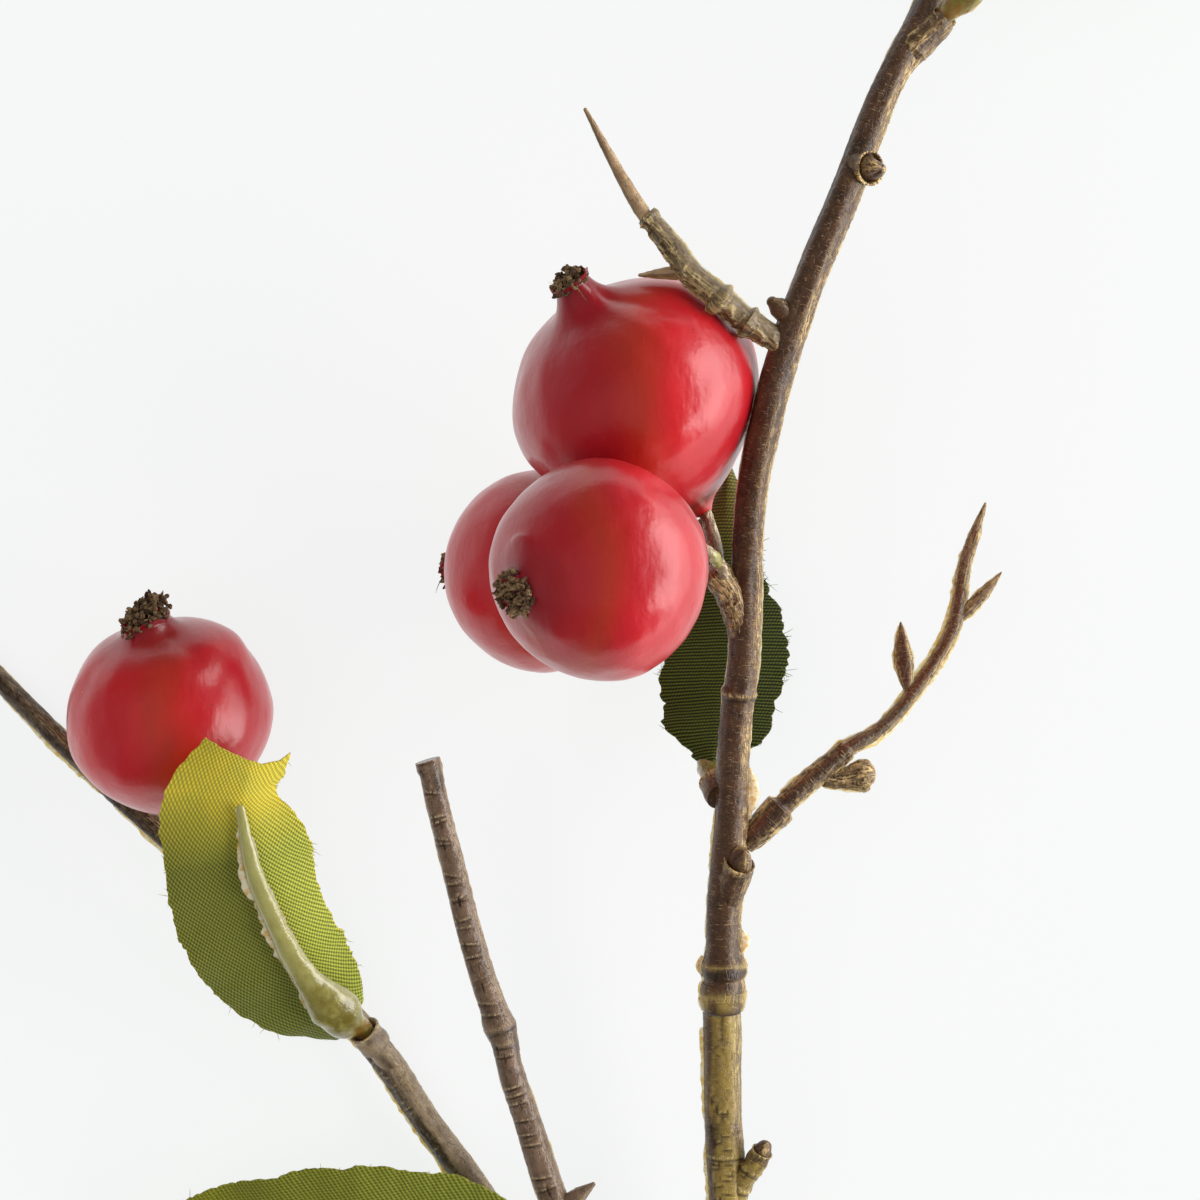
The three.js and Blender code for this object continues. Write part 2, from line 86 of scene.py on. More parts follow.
def smooth_line(stations, step=0.3, up=(0, 0, 1), crisp=False):
    """A line through stations, each x, y, z and any further values, in millimetres.

    Between two stations every value follows the cubic that meets both of them with the mean slope
    of their neighbours: h00 a + h10 w sa + h01 b + h11 w sb, with w the span's length. Where crisp,
    the further values go straight from station to station instead, which keeps steps sharp. The way
    up is `up` less its part along the line, and the side is ahead crossed with up.
    """
    stations = np.array(stations, float)
    gaps = np.linalg.norm(np.diff(stations[:, :3], axis=0), axis=1)
    knots = np.concatenate([[0], np.cumsum(gaps)])
    slopes = np.gradient(stations, knots, axis=0)
    along = np.linspace(0, knots[-1], int(np.ceil(knots[-1] / step)) + 1)
    span = np.clip(np.searchsorted(knots, along, side="right") - 1, 0, len(knots) - 2)
    width = (knots[span + 1] - knots[span])[:, None]
    t = (along - knots[span])[:, None] / width
    values = (
        (1 + 2 * t) * (1 - t) ** 2 * stations[span]
        + t * (1 - t) ** 2 * width * slopes[span]
        + t**2 * (3 - 2 * t) * stations[span + 1]
        - t**2 * (1 - t) * width * slopes[span + 1]
    )
    if crisp:
        values[:, 3:] = np.column_stack([np.interp(along, knots, column) for column in stations[:, 3:].T])
    ahead = unit(np.gradient(values[:, :3], axis=0))
    up = np.array(up, float)
    top = unit(up - (ahead @ up)[:, None] * ahead)
    return SimpleNamespace(
        middle=values[:, :3],
        extra=values[:, 3:],
        along=along,
        ahead=ahead,
        top=top,
        side=np.cross(ahead, top),
    )


def place_on(line, point):
    """How far along the line its ring nearest to the point is, in millimetres."""
    return line.along[np.argmin(np.linalg.norm(line.middle - np.array(point), axis=1))]


sample = smooth_line([(0, 0, 0), (10, 4, 0), (20, 0, 0)], step=0.5)
print("a sample line of", round(float(sample.along[-1]), 1), "mm has", len(sample.along), "rings")


# %% [markdown]
# ## Skins
# A skin is a closed tube of rings. Its corners are one array of rings by corners by x, y, z, so a
# thorn, a fruit and even a flat leaf are the same kind of thing. Both ends are closed, so the piece
# has an inside and an outside. Numbers that travel with the corners, called marks, say where paint
# is worn or where a crack is dark, and the materials read them.

# %% Skins round a line


def turns_round(around):
    """The share of a full turn at each corner. 0 is the top, 0.25 the side and 0.5 the underside,
    where the skin's seam is out of sight."""
    return ((np.arange(around) / around + 0.5) % 1)[None]


CLOSING = np.radians([30, 60, 88])  # the rings that close an end, as turns of a quarter circle


def skin_round(line, radius, bulge=(1, 1), squash=1.0, marks=None, paint=0):
    """A closed skin round a line.

    Corner (i, j) is middle_i + radius_ij (squash cos a_j up_i + sin a_j side_i), where a_j is the
    corner's turn. Three more rings close each end: they shrink with the cosine of CLOSING and move
    out with its sine times bulge, so that 1 is a round end and 0 a flat cut.
    """
    rings, around = radius.shape
    ring = np.concatenate([[0] * 3, np.arange(rings), [rings - 1] * 3])
    shrink = np.concatenate([np.cos(CLOSING[::-1]), np.ones(rings), np.cos(CLOSING)])
    ends = radius.mean(axis=1)
    push = np.concatenate([
        -bulge[0] * ends[0] * np.sin(CLOSING[::-1]),
        np.zeros(rings),
        bulge[1] * ends[-1] * np.sin(CLOSING),
    ])
    turn = turns_round(around)[0] * 2 * np.pi
    reach = radius[ring] * shrink[:, None]
    corners = (
        (line.middle[ring] + line.ahead[ring] * push[:, None])[:, None]
        + (reach * np.cos(turn) * squash)[..., None] * line.top[ring][:, None]
        + (reach * np.sin(turn))[..., None] * line.side[ring][:, None]
    )
    girth = np.linspace(0, 2 * np.pi * radius.mean(), around + 1)
    across, along = np.meshgrid(girth, line.along[ring] + push)
    return SimpleNamespace(
        corners=corners,
        uv=np.stack([across, along], axis=-1),
        marks={name: mark[ring] for name, mark in (marks or {}).items()},
        paint=paint,
        flat_ends=False,
    )


print("each end is closed with", len(CLOSING), "rings of its own")

# %% [markdown]
# ## A skin's faces
# The faces only depend on how many rings and corners there are, so they are arrays of corner
# numbers, worked out at once. The map is given for each corner of each face and not for each corner
# of the skin, since the last face of a ring has to end at the full girth and not at nought.

# %% Faces of a skin


def skin_faces(rings, around, flat_ends):
    """The corner numbers of a skin's faces and each face's corner count.

    Four-sided faces join each ring to the next. An end is one face with all of its ring's corners,
    or for a flat sheet a row of four-sided faces between the upper and the lower side.
    """
    ring, corner = np.meshgrid(np.arange(rings - 1), np.arange(around), indexing="ij")
    after = (corner + 1) % around
    wall = np.stack([
        ring * around + corner,
        ring * around + after,
        (ring + 1) * around + after,
        (ring + 1) * around + corner,
    ], axis=-1).reshape(-1)
    last = (rings - 1) * around
    if flat_ends:
        j = np.arange(around // 2 - 1)
        strip = np.stack([j, j + 1, around - 2 - j, around - 1 - j], axis=-1)
        numbers = [wall, strip[:, ::-1].reshape(-1), (strip + last).reshape(-1)]
        counts = np.full((rings - 1) * around + 2 * len(j), 4)
    else:
        numbers = [wall, np.arange(around)[::-1], np.arange(around) + last]
        counts = np.concatenate([np.full((rings - 1) * around, 4), [around, around]])
    return np.concatenate(numbers), counts


def corner_uv(skin):
    """Each face corner's own place on the flattened skin, so that the pattern has no seam smear."""
    rings, around = skin.corners.shape[:2]
    numbers, _ = skin_faces(rings, around, skin.flat_ends)
    ring, corner = numbers // around, numbers % around
    walls = (rings - 1) * around * 4
    step = np.zeros(len(numbers), int)
    step[:walls] = np.tile([0, 1, 1, 0], (rings - 1) * around)
    step[:walls] += np.repeat(np.tile(np.arange(around), rings - 1), 4)
    step[walls:] = corner[walls:]
    return skin.uv[ring, step]


print("a skin of 3 rings of 8 corners has", len(skin_faces(3, 8, flat_ends=False)[1]), "faces")

# %% [markdown]
# ## From skins to a Blender object
# A mesh could be built from lists of corners and faces. Whole arrays handed over with foreach_set
# are much quicker for a hundred thousand corners. Skins that are moulded as one piece become one
# mesh. Each keeps its own flattened map, and its marks become attributes that the materials read.

# %% Pieces
SHARP = math.radians(50)
made = []


def make_piece(name, skins, materials, stands_for=()):
    """One object from several skins, in metres, riding on the branch's only body. A skin's `paint`
    is the number of its material, and `stands_for` names the CAD nodes that the object replaces."""
    starts, numbers, counts, uvs, paints = 0, [], [], [], []
    for skin in skins:
        rings, around = skin.corners.shape[:2]
        corner_numbers, face_sizes = skin_faces(rings, around, skin.flat_ends)
        numbers.append(corner_numbers + starts)
        counts.append(face_sizes)
        uvs.append(corner_uv(skin))
        paints.append(np.full(len(face_sizes), skin.paint))
        starts += rings * around
    points = np.concatenate([skin.corners.reshape(-1, 3) for skin in skins]) * MM
    numbers, counts = np.concatenate(numbers), np.concatenate(counts)

    mesh = bpy.data.meshes.new(name)
    mesh.vertices.add(len(points))
    mesh.vertices.foreach_set("co", points.astype(np.float32).ravel())
    mesh.loops.add(len(numbers))
    mesh.loops.foreach_set("vertex_index", numbers.astype(np.int32))
    mesh.polygons.add(len(counts))
    firsts = np.concatenate([[0], np.cumsum(counts)[:-1]])
    mesh.polygons.foreach_set("loop_start", firsts.astype(np.int32))
    mesh.update(calc_edges=True)
    mesh.polygons.foreach_set("material_index", np.concatenate(paints).astype(np.int32))
    mesh.polygons.foreach_set("use_smooth", np.ones(len(counts), bool))
    mesh.set_sharp_from_angle(angle=SHARP)
    layer = mesh.uv_layers.new(name="skin")
    layer.data.foreach_set("uv", np.concatenate(uvs).astype(np.float32).ravel())
    for mark in sorted({m for skin in skins for m in skin.marks}):
        blank = [np.zeros(skin.corners.shape[:2]) for skin in skins]
        values = [skin.marks.get(mark, zero) for skin, zero in zip(skins, blank)]
        held = mesh.attributes.new(mark, "FLOAT", "POINT")
        held.data.foreach_set("value", np.concatenate([v.ravel() for v in values]).astype(np.float32))
    for material in materials:
        mesh.materials.append(material)
    mesh.validate()

    piece = bpy.data.objects.new(name, mesh)
    bpy.context.scene.collection.objects.link(piece)
    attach(piece, "root")
    if stands_for:
        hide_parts(*stands_for)
    triangles = int((counts - 2).sum())
    made.append(triangles)
    print(f"{name}: {len(skins)} skins, {triangles} triangles")
    return piece


print("creases sharper than", round(math.degrees(SHARP)), "degrees stay sharp")

# %% [markdown]
# ## Random but repeatable
# Bark, dents and crumbs look right only if they are irregular. Blender's textures could move the
# surface, but then the paint wouldn't know where the bumps are. So the unevenness is worked out
# here, from tables of random numbers with fixed seeds, and every run gives the same branch.

# %% Uneven surfaces
TABLE_ROWS = 256  # the noise repeats after this many lattice steps along


def lattice_noise(rows, turns, cells, seed):
    """Smooth random heights from 0 to 1 on a strip that closes on itself.

    Random numbers stand on a lattice. Between four of them the height is their mean, weighted with
    3 f^2 - 2 f^3 of the distance f from each. rows counts lattice steps along, and turns goes from
    0 to 1 once round, over `cells` steps.
    """
    table = np.random.default_rng(seed).random((TABLE_ROWS, cells))
    row, column = np.broadcast_arrays(rows, np.asarray(turns) * cells)
    i, j = np.floor(row).astype(int), np.floor(column).astype(int)
    f, g = row - i, column - j
    f, g = f * f * (3 - 2 * f), g * g * (3 - 2 * g)
    this_row, next_row = i % TABLE_ROWS, (i + 1) % TABLE_ROWS
    near = table[this_row, j % cells] * (1 - g) + table[this_row, (j + 1) % cells] * g
    far = table[next_row, j % cells] * (1 - g) + table[next_row, (j + 1) % cells] * g
    return near * (1 - f) + far * f


WAVES = 24


def soft_lumps(points, size, seed):
    """Smooth random heights of about -1 to 1 in space: the sum of WAVES sine waves, over the root of
    their number. Their lengths are near `size`, and their directions and phases are random."""
    random = np.random.default_rng(seed)
    directions = unit(random.normal(size=(WAVES, 3)))
    lengths = size * random.uniform(0.7, 1.6, WAVES)
    phases = random.uniform(0, 2 * np.pi, WAVES)
    total = np.zeros(points.shape[:-1])
    for direction, length, phase in zip(directions, lengths, phases):
        total += np.sin(points @ direction * 2 * np.pi / length + phase)
    return total / math.sqrt(WAVES)


sample = lattice_noise(np.arange(0, 40, 0.1)[:, None], turns_round(60), 8, seed=5)
print("the noise runs from", round(float(sample.min()), 2), "to", round(float(sample.max()), 2))


# %% [markdown]
# ## Finishes: the tools
# Each finish is one Principled shader. Values that are the same all over are set on the shader
# itself, and only what changes over the surface comes through nodes: colours mixed by the marks,
# fine noise, and a little bump for what is finer than the mesh.

# %% Materials and nodes


def paint(red, green, blue):
    """A colour given as it is seen, 0 to 255, turned into the linear light that shaders use."""
    seen = np.array([red, green, blue]) / 255
    linear = np.where(seen <= 0.04045, seen / 12.92, ((seen + 0.055) / 1.055) ** 2.4)
    return (*linear.tolist(), 1.0)


def new_material(name, **values):
    """A material with one Principled shader that has these fixed values."""
    material = bpy.data.materials.new(name)
    material.use_nodes = True
    shader = material.node_tree.nodes["Principled BSDF"]
    for socket, value in values.items():
        shader.inputs[socket.replace("_", " ")].default_value = value
    return material, shader


def add(material, kind, output=0, values=None, **settings):
    """Adds a node, with its settings and with values or links for its inputs. Returns its output."""
    node = material.node_tree.nodes.new("ShaderNode" + kind)
    for name, value in settings.items():
        setattr(node, name, value)
    for key, value in (values or {}).items():
        if isinstance(value, bpy.types.NodeSocket):
            material.node_tree.links.new(value, node.inputs[key])
        else:
            node.inputs[key].default_value = value
    return node.outputs[output]


def link(material, output, shader, socket):
    """Joins a node's output to one of the shader's sockets."""
    material.node_tree.links.new(output, shader.inputs[socket])


print("a seen grey of 128 is", round(paint(128, 128, 128)[0], 3), "in linear light")

# %% [markdown]
# ## Finishes: small helpers
# Each of these adds one node or two. With them a finish reads as a few lines of sums and mixes.

# %% Small helpers for node materials


def mark_of(material, name):
    """The mark of this name, which travels with the mesh."""
    return add(material, "Attribute", "Fac", attribute_name=name)


def math_of(material, operation, *values, clamp=False):
    """The result of one operation on one or two values."""
    return add(material, "Math", 0, dict(enumerate(values)), operation=operation, use_clamp=clamp)


def times(material, first, second):
    """first x second."""
    return math_of(material, "MULTIPLY", first, second)


def plus(material, first, second):
    """first + second."""
    return math_of(material, "ADD", first, second)


MIX_SHARE, MIX_FIRST, MIX_SECOND, MIX_RESULT = 0, 6, 7, 2  # a colour Mix node's sockets by number


def blend(material, share, first, second):
    """The colour `first` where share is 0 and `second` where it is 1."""
    values = {MIX_SHARE: share, MIX_FIRST: first, MIX_SECOND: second}
    return add(material, "Mix", MIX_RESULT, values, data_type="RGBA", clamp_factor=True)


def between(material, value, low, high):
    """value moved from low..high to 0..1 and cut off there."""
    keys = {"Value": value, "From Min": low, "From Max": high}
    return add(material, "MapRange", "Result", keys, clamp=True)


def grain(material, size, stretch=(1, 1, 1), detail=3.0):
    """Noise in the object's own coordinates, with features of `size` millimetres."""
    place = add(material, "TexCoord", "Object")
    scaled = add(material, "Mapping", 0, {"Vector": place, "Scale": stretch})
    keys = {"Vector": scaled, "Scale": 1 / (size * MM), "Detail": detail, "Roughness": 0.55}
    return add(material, "TexNoise", "Fac", keys)


def bump(material, shader, height, distance, strength):
    """Tilts the light on both the ground and the clear coat, as `distance` mm of relief would."""
    keys = {"Height": height, "Distance": distance * MM, "Strength": strength}
    normal = add(material, "Bump", "Normal", keys)
    link(material, normal, shader, "Normal")
    link(material, normal, shader, "Coat Normal")


print("noise with features of 1 mm has a scale of", round(1 / MM), "in the object's metres")

# %% [markdown]
# ## Bark
# The twigs are moulded in ochre or grey-brown plastic and painted brown. The paint stays in the
# hollows and wears off the ridges, so the pale plastic shows in fibres along the twig, in a wormy
# net, and in thin scratches across it. These lines are finer than the mesh, so they are drawn by
# noise on the flattened skin, which is counted in millimetres. Marks on the mesh say where.

# %% Bark material


def skin_noise(material, across, along, detail, distortion):
    """Noise on the flattened skin, with features `across` mm round the twig and `along` mm long."""
    place = add(material, "UVMap", "UV", uv_map="skin")
    scaled = add(material, "Mapping", 0, {"Vector": place, "Scale": (1 / across, 1 / along, 1)})
    keys = {"Vector": scaled, "Scale": 1.0, "Detail": detail, "Distortion": distortion}
    return add(material, "TexNoise", "Fac", keys, noise_dimensions="2D")


def thin_lines(material, noise, width):
    """Lines where the noise passes its middle value: 1 - |noise - 0.5| / width, never below 0."""
    away = math_of(material, "ABSOLUTE", math_of(material, "SUBTRACT", noise, 0.5))
    return between(material, away, width, 0.0)


def bark_material(name, base, second, deep, worn, patch, roughness, scratches=0.4, worms=0.6):
    """Painted bark: two browns mixed softly, a patch colour where its mark is, the worn colour in
    fibres, worms and scratches, and the deep colour in the cracks and in a dark net. scratches and
    worms are how strong those two are."""
    material, shader = new_material(name, Specular_IOR_Level=0.5)
    colour = blend(material, between(material, grain(material, 2.2), 0.36, 0.64), second, base)
    colour = blend(material, mark_of(material, "patch"), colour, patch)
    fine = between(material, grain(material, 0.3, detail=4.0), 0.4, 0.64)
    scratch = between(material, skin_noise(material, 1.0, 0.13, 1.0, 0.4), 0.69, 0.74)
    fibre = between(material, skin_noise(material, 0.2, 1.6, 2.0, 0.5), 0.5, 0.58)
    worm = thin_lines(material, skin_noise(material, 0.6, 0.8, 2.0, 0.8), 0.05)
    dark_net = thin_lines(material, skin_noise(material, 0.9, 2.4, 2.0, 0.3), 0.025)
    streaks = math_of(material, "MAXIMUM", fibre, times(material, worm, worms))
    share = times(material, mark_of(material, "worn"), plus(material, streaks, times(material, fine, 0.2)))
    share = math_of(material, "ADD", share, times(material, scratch, scratches), clamp=True)
    colour = blend(material, times(material, dark_net, 0.6), colour, deep)
    colour = blend(material, share, colour, worn)
    colour = blend(material, mark_of(material, "crack"), colour, deep)
    link(material, colour, shader, "Base Color")
    rough = plus(material, times(material, fine, 0.18), roughness - 0.06)
    link(material, rough, shader, "Roughness")
    relief = plus(
        material, times(material, fine, 0.4),
        math_of(material, "SUBTRACT", share, times(material, dark_net, 0.8)))
    bump(material, shader, relief, 0.06, 0.7)
    return material


dark_bark = bark_material(
    "dark_brown_bark", paint(88, 60, 39), paint(66, 44, 28), paint(34, 22, 15), paint(214, 182, 122),
    paint(152, 130, 66), 0.33, worms=0.9)
# its dark patch colour is painted shade down the left twig's left side, away from the lamps, and it also
# covers the twig's far half
pale_bark = bark_material(
    "grey_brown_bark", paint(160, 142, 118), paint(130, 110, 88), paint(46, 32, 23), paint(216, 192, 138),
    paint(44, 28, 18), 0.33, scratches=0.12, worms=0.9)
olive_bark = bark_material(
    "olive_bark", paint(104, 80, 48), paint(84, 62, 38), paint(38, 27, 17), paint(212, 190, 122),
    paint(154, 130, 60), 0.34)
print("bark finishes:", [m.name for m in (dark_bark, pale_bark, olive_bark)])

# %% [markdown]
# ## Cracks in the bark
# The clearest thing on the twigs is a ladder of short dark cracks across the bark. Lines drawn in
# the material would stay flat, so the cracks are cut into the skin. Each is a smooth bump of its own
# over the twig's length and girth, with its place, lean and strength drawn at random.

# %% Cracks in columns
RUNG_HALF = 0.12  # half of a rung's width in millimetres, and the next is half of an upright's
UPRIGHT_HALF = 0.11


def ladder(along, turns, girth, columns, spacing, first, last, reach, seed):
    """Rungs of short dark cracks in columns, 1 inside a crack.

    A rung is exp(-(x / reach)^4 - ((y - lean x) / RUNG_HALF)^2), times a strength. Fewer than half
    have an upright at one end, exp(-(x / UPRIGHT_HALF)^2 - (y / 0.45 spacing)^4).
    """
    random = np.random.default_rng(seed)
    total = np.zeros(np.broadcast_shapes(along.shape, turns.shape))
    for column in columns:
        for middle in np.arange(first, last, spacing):
            middle, drift, lean = random.normal((middle, 0, 0), (spacing * 0.35, 0.01, 0.15))
            near = np.abs(along[:, 0] - middle) < spacing
            x = ((turns - column - drift + 0.5) % 1 - 0.5) * girth
            y = along[near] - middle
            rung = np.exp(-((x / reach) ** 4) - ((y - lean * x) / RUNG_HALF) ** 2)
            rung = rung * random.choice([0.3, 0.8, 1, 1, 1])
            x = x - random.choice([-0.4, 0.4])
            upright = np.exp(-((x / UPRIGHT_HALF) ** 2) - (y / (spacing * 0.45)) ** 4)
            total[near] = np.maximum(total[near], np.maximum(rung, upright * (random.random() < 0.45)))
    return total


sample = ladder(np.arange(0, 20, 0.1)[:, None], turns_round(60), 12, [0], 1.5, 1, 19, 0.7, seed=1)
print(f"one column of rungs cracks {100 * float((sample > 0.5).mean()):.1f} % of a sample skin")

# %% [markdown]
# ## The bark's relief
# A real mould is cut from a real twig. Its relief is the sum of a few simple things: the twig isn't
# quite round, flutes run lengthwise, a net of ridges covers one side, the cracks are cut in, and
# rings stand where a bud scar was. Each is added to the radius, and sets the marks.

# %% Bark skins
FINE_RELIEF = 0.07
CRACK_DEPTH = 0.16
CRACK_LIP = 0.3
RIM_WIDTH = 0.11  # in turns


def facing_side(turns, side, spread):
    """1 on the side of the twig at `side`, in turns from the top, falling to 0 over `spread`."""
    away = np.abs((turns - side + 0.5) % 1 - 0.5)
    return np.clip(1.5 - away / spread, 0, 1)


def panel_mark(along, turns, panel, mottle, seed):
    """1 inside a strip of the patch colour, times the mottle, with an uneven edge. panel is (its
    middle, its half width near the foot, its half width past half-way), all in turns."""
    middle, at_foot, past_half = panel
    uneven = 0.06 * (lattice_noise(along / 3, turns, 9, seed) - 0.5)
    away = np.abs((turns - middle + 0.5) % 1 - 0.5) + uneven
    wide = at_foot + (past_half - at_foot) * np.clip(along / along[-1] * 10 - 4.4, 0, 1)
    return np.clip((wide - away) / 0.03, 0, 1) * mottle


def bark_skin(
        route, seed, around, step, up=(0, 0, 1), bulge=(1, 1), squash=1.0, oval=0.04, flutes=0.14,
        net=0.10, side=0.17, spread=0.13, wear=0.6, rim=0.0, gild=0.0, panel=None, rungs=None, rings=()):
    """A twig's skin with its relief and marks.

    radius = the route's own x (1 + oval noise) + flutes + net + fine noise - cracks + rings. side and spread
    say where the net and the wear are; where side is on the right, the side the lamps fall on, the worn
    colour there is also painted light. rim is the wear along both edges, and gild that towards the far end.
    panel is as in panel_mark, and rungs are (columns, spacing, first, last, reach). rings are (point, height,
    half width, wear, patch), each exp(-away^2) of the distance from its point along the twig over its half
    width.
    """
    line = smooth_line(route, step, up, crisp=True)
    turns = turns_round(around)
    along, base = line.along[:, None], line.extra[:, :1]
    girth = 2 * np.pi * float(base.mean())
    lumps = lattice_noise(along / 5, turns, 4, seed) - 0.5
    fluted = lattice_noise(along / 7, turns, max(6, int(girth / 0.8)), seed + 1) - 0.5
    wander = lattice_noise(along / 1.1, turns, max(4, int(girth / 0.9)), seed + 2)
    lit = facing_side(turns, side, spread)
    ridge = np.clip(1 - np.abs(2 * wander - 1) * 3, 0, 1) * lit
    fine = lattice_noise(along / 0.45, turns, max(8, int(girth / 0.45)), seed + 4) - 0.5
    radius = base * (1 + oval * 2 * lumps) + flutes * fluted + net * ridge + FINE_RELIEF * fine
    edge = np.abs(np.abs((turns + 0.5) % 1 - 0.5) - 0.25)
    # the worn colour is real wear; where side is on the right, towards the lamps, it also paints that side
    # paler as painted light
    worn = wear * lit * (0.45 + np.clip(fluted * 1.6, -0.3, 0.6)) + ridge * 0.5 * wear
    worn = np.maximum(worn, rim * np.exp(-((edge / RIM_WIDTH) ** 2)))
    worn = worn + gild * np.clip(along / along[-1] * 4 - 3, 0, 1)
    crack = np.clip(-fluted * 3 - 0.6, 0, 1) * 0.8
    if rungs:
        cracks = ladder(along, turns, girth, *rungs, seed + 5)
        above = ladder(along - CRACK_LIP, turns, girth, *rungs, seed + 5)
        radius = radius - CRACK_DEPTH * cracks
        crack = np.maximum(crack, cracks)
        worn = np.maximum(worn, 0.85 * np.clip(above - cracks, 0, 1))
    patch = 0 * radius
    if panel:
        mottle = 0.75 + 0.5 * fine + 0.6 * lumps + 0.3 * wander
        patch = panel_mark(along, turns, panel, mottle, seed + 8)
    for point, rise, half, tan, ochre in rings:
        wavy = lattice_noise(along * 0, turns, 5, seed + 6) - 0.5
        away = (along - place_on(line, point)) / half + 0.5 * wavy
        radius = radius + rise * np.exp(-(away**2))
        worn = np.maximum(worn, tan * np.exp(-((away - 0.2) ** 2) * 2.5))
        crack = np.maximum(crack, 0.9 * np.exp(-((away + 1.7) ** 2) * 3))
        band = np.clip(ochre * np.exp(-(away**2)), 0, 1)
        patch = np.maximum(patch, band * np.clip(2.4 * wander - 0.2, 0.15, 1))
    full = np.ones_like(radius)
    marks = {
        "worn": np.clip(worn, 0, 1) * full,
        "crack": np.clip(crack, 0, 1) * full,
        "patch": np.clip(patch, 0, 1),
    }
    return skin_round(line, radius, bulge, squash, marks)


print("a crack is", CRACK_DEPTH, "mm deep, with a worn lip", CRACK_LIP, "mm above it")

# %% [markdown]
# ## Turned pieces
# A lipped cup and a blank plug are turned shapes: a profile spun round a short straight line. Uneven
# noise on the profile keeps them from looking machined, and the cup's lip is worn pale.

# %% Turned skins


def turned_skin(at, facing, profile, size, seed, uneven, worn, around=40):
    """A profile of (height, radius) pairs, times size, spun round the line from `at` along `facing`.

    Corner (i, j) is at + height_i facing + radius_i (1 + uneven noise) in direction j. worn is how
    worn each ring is.
    """
    heights, radii = size * np.array(profile, float).T
    facing = unit(facing)
    up = np.array((0, 1.0, 0) if abs(facing[1]) < 0.8 else (0, 0, 1.0))
    top = unit(up - facing * (facing @ up))
    rings = len(heights)
    line = SimpleNamespace(
        middle=np.array(at) + heights[:, None] * facing,
        ahead=np.tile(facing, (rings, 1)),
        top=np.tile(top, (rings, 1)),
        side=np.tile(np.cross(facing, top), (rings, 1)),
        along=np.concatenate([[0], np.cumsum(np.hypot(np.diff(heights), np.diff(radii)))]),
    )
    noise = lattice_noise(line.along[:, None] / 0.6, turns_round(around), 8, seed) - 0.5
    radius = radii[:, None] * (1 + 2 * uneven * noise)
    pale = np.array(worn, float)[:, None] * (1 + noise)
    return skin_round(line, radius, (0, 0), marks={"worn": pale, "crack": np.clip(-noise * 2 - 0.4, 0, 1)})


CUP_PROFILE = [
    (-2.1, 0.6), (-2.1, 2.1), (-1.4, 2.2), (-0.6, 2.1), (0.1, 2.0), (0.6, 2.02), (0.85, 2.12), (0.98, 2.1),
    (1.04, 1.98), (1.0, 1.84), (0.85, 1.74), (0.5, 1.68), (-0.5, 1.6), (-1.2, 1.5), (-1.25, 0.4),
]
CUP_WORN = [0, 0, 0.1, 0.1, 0.2, 0.5, 0.9, 1, 1, 0.9, 0.5, 0.2, 0, 0, 0]


def cup_skin(at, facing, seed, size=1.0):
    """A lipped cup that widens into the twig below."""
    return turned_skin(at, facing, CUP_PROFILE, size, seed, 0.07, CUP_WORN)


print("a cup's lip is", round(2 * max(radius for _, radius in CUP_PROFILE[5:]), 1), "mm across")

# %% [markdown]
# ## The lower stem
# The thick lower stem is brown with an olive-yellow panel down its middle, and in the panel stand
# two columns of short dark cracks. A stub with a lipped cup leaves it on the right. The foot is cut
# flat.

# %% Lower stem
LOWER_STEM = [
    (21.1, -117, 2.65, 2.6), (22, -103.5, 4.4, 2.6), (22.3, -90, 6, 2.55), (22, -77, 7.8, 2.5),
    (21.6, -64, 9.8, 2.45), (21, -51, 11.8, 2.4), (20.8, -39.6, 13.6, 2.4),
]
STUB = [(21.8, -65.6, 9.6, 1.6), (23.8, -61, 11.4, 1.4), (25.4, -58.6, 12.3, 1.4)]
STUB_CUP = ((25.7, -57.9, 12.6), (0.45, 0.77, 0.42))

make_piece("lower_stem_bark", [
    bark_skin(LOWER_STEM, 11, around=64, step=0.2, bulge=(0, 0), flutes=0.12, net=0.05, side=0.2, wear=0.5,
              panel=(0, 0.13, 0.13), rungs=([-0.09, 0.01], 1.5, 1, 68, 0.7),
              rings=[((21.3, -58, 10.7), 0.06, 0.25, 0.8, 0), ((21.6, -66, 9.5), 0.05, 0.25, 0.8, 0)]),
    bark_skin(STUB, 12, around=40, step=0.18, flutes=0.08, wear=0.6, panel=(0, 0.2, 0.2),
              rungs=([-0.05], 1.1, 1, 8, 0.4),
              rings=[((23.2, -62, 10.9), 0.1, 0.3, 0.9, 0), ((24.6, -59.7, 11.9), 0.12, 0.3, 0.9, 0)]),
    cup_skin(*STUB_CUP, 13, 0.68),
], [olive_bark], ["lower_stem"])
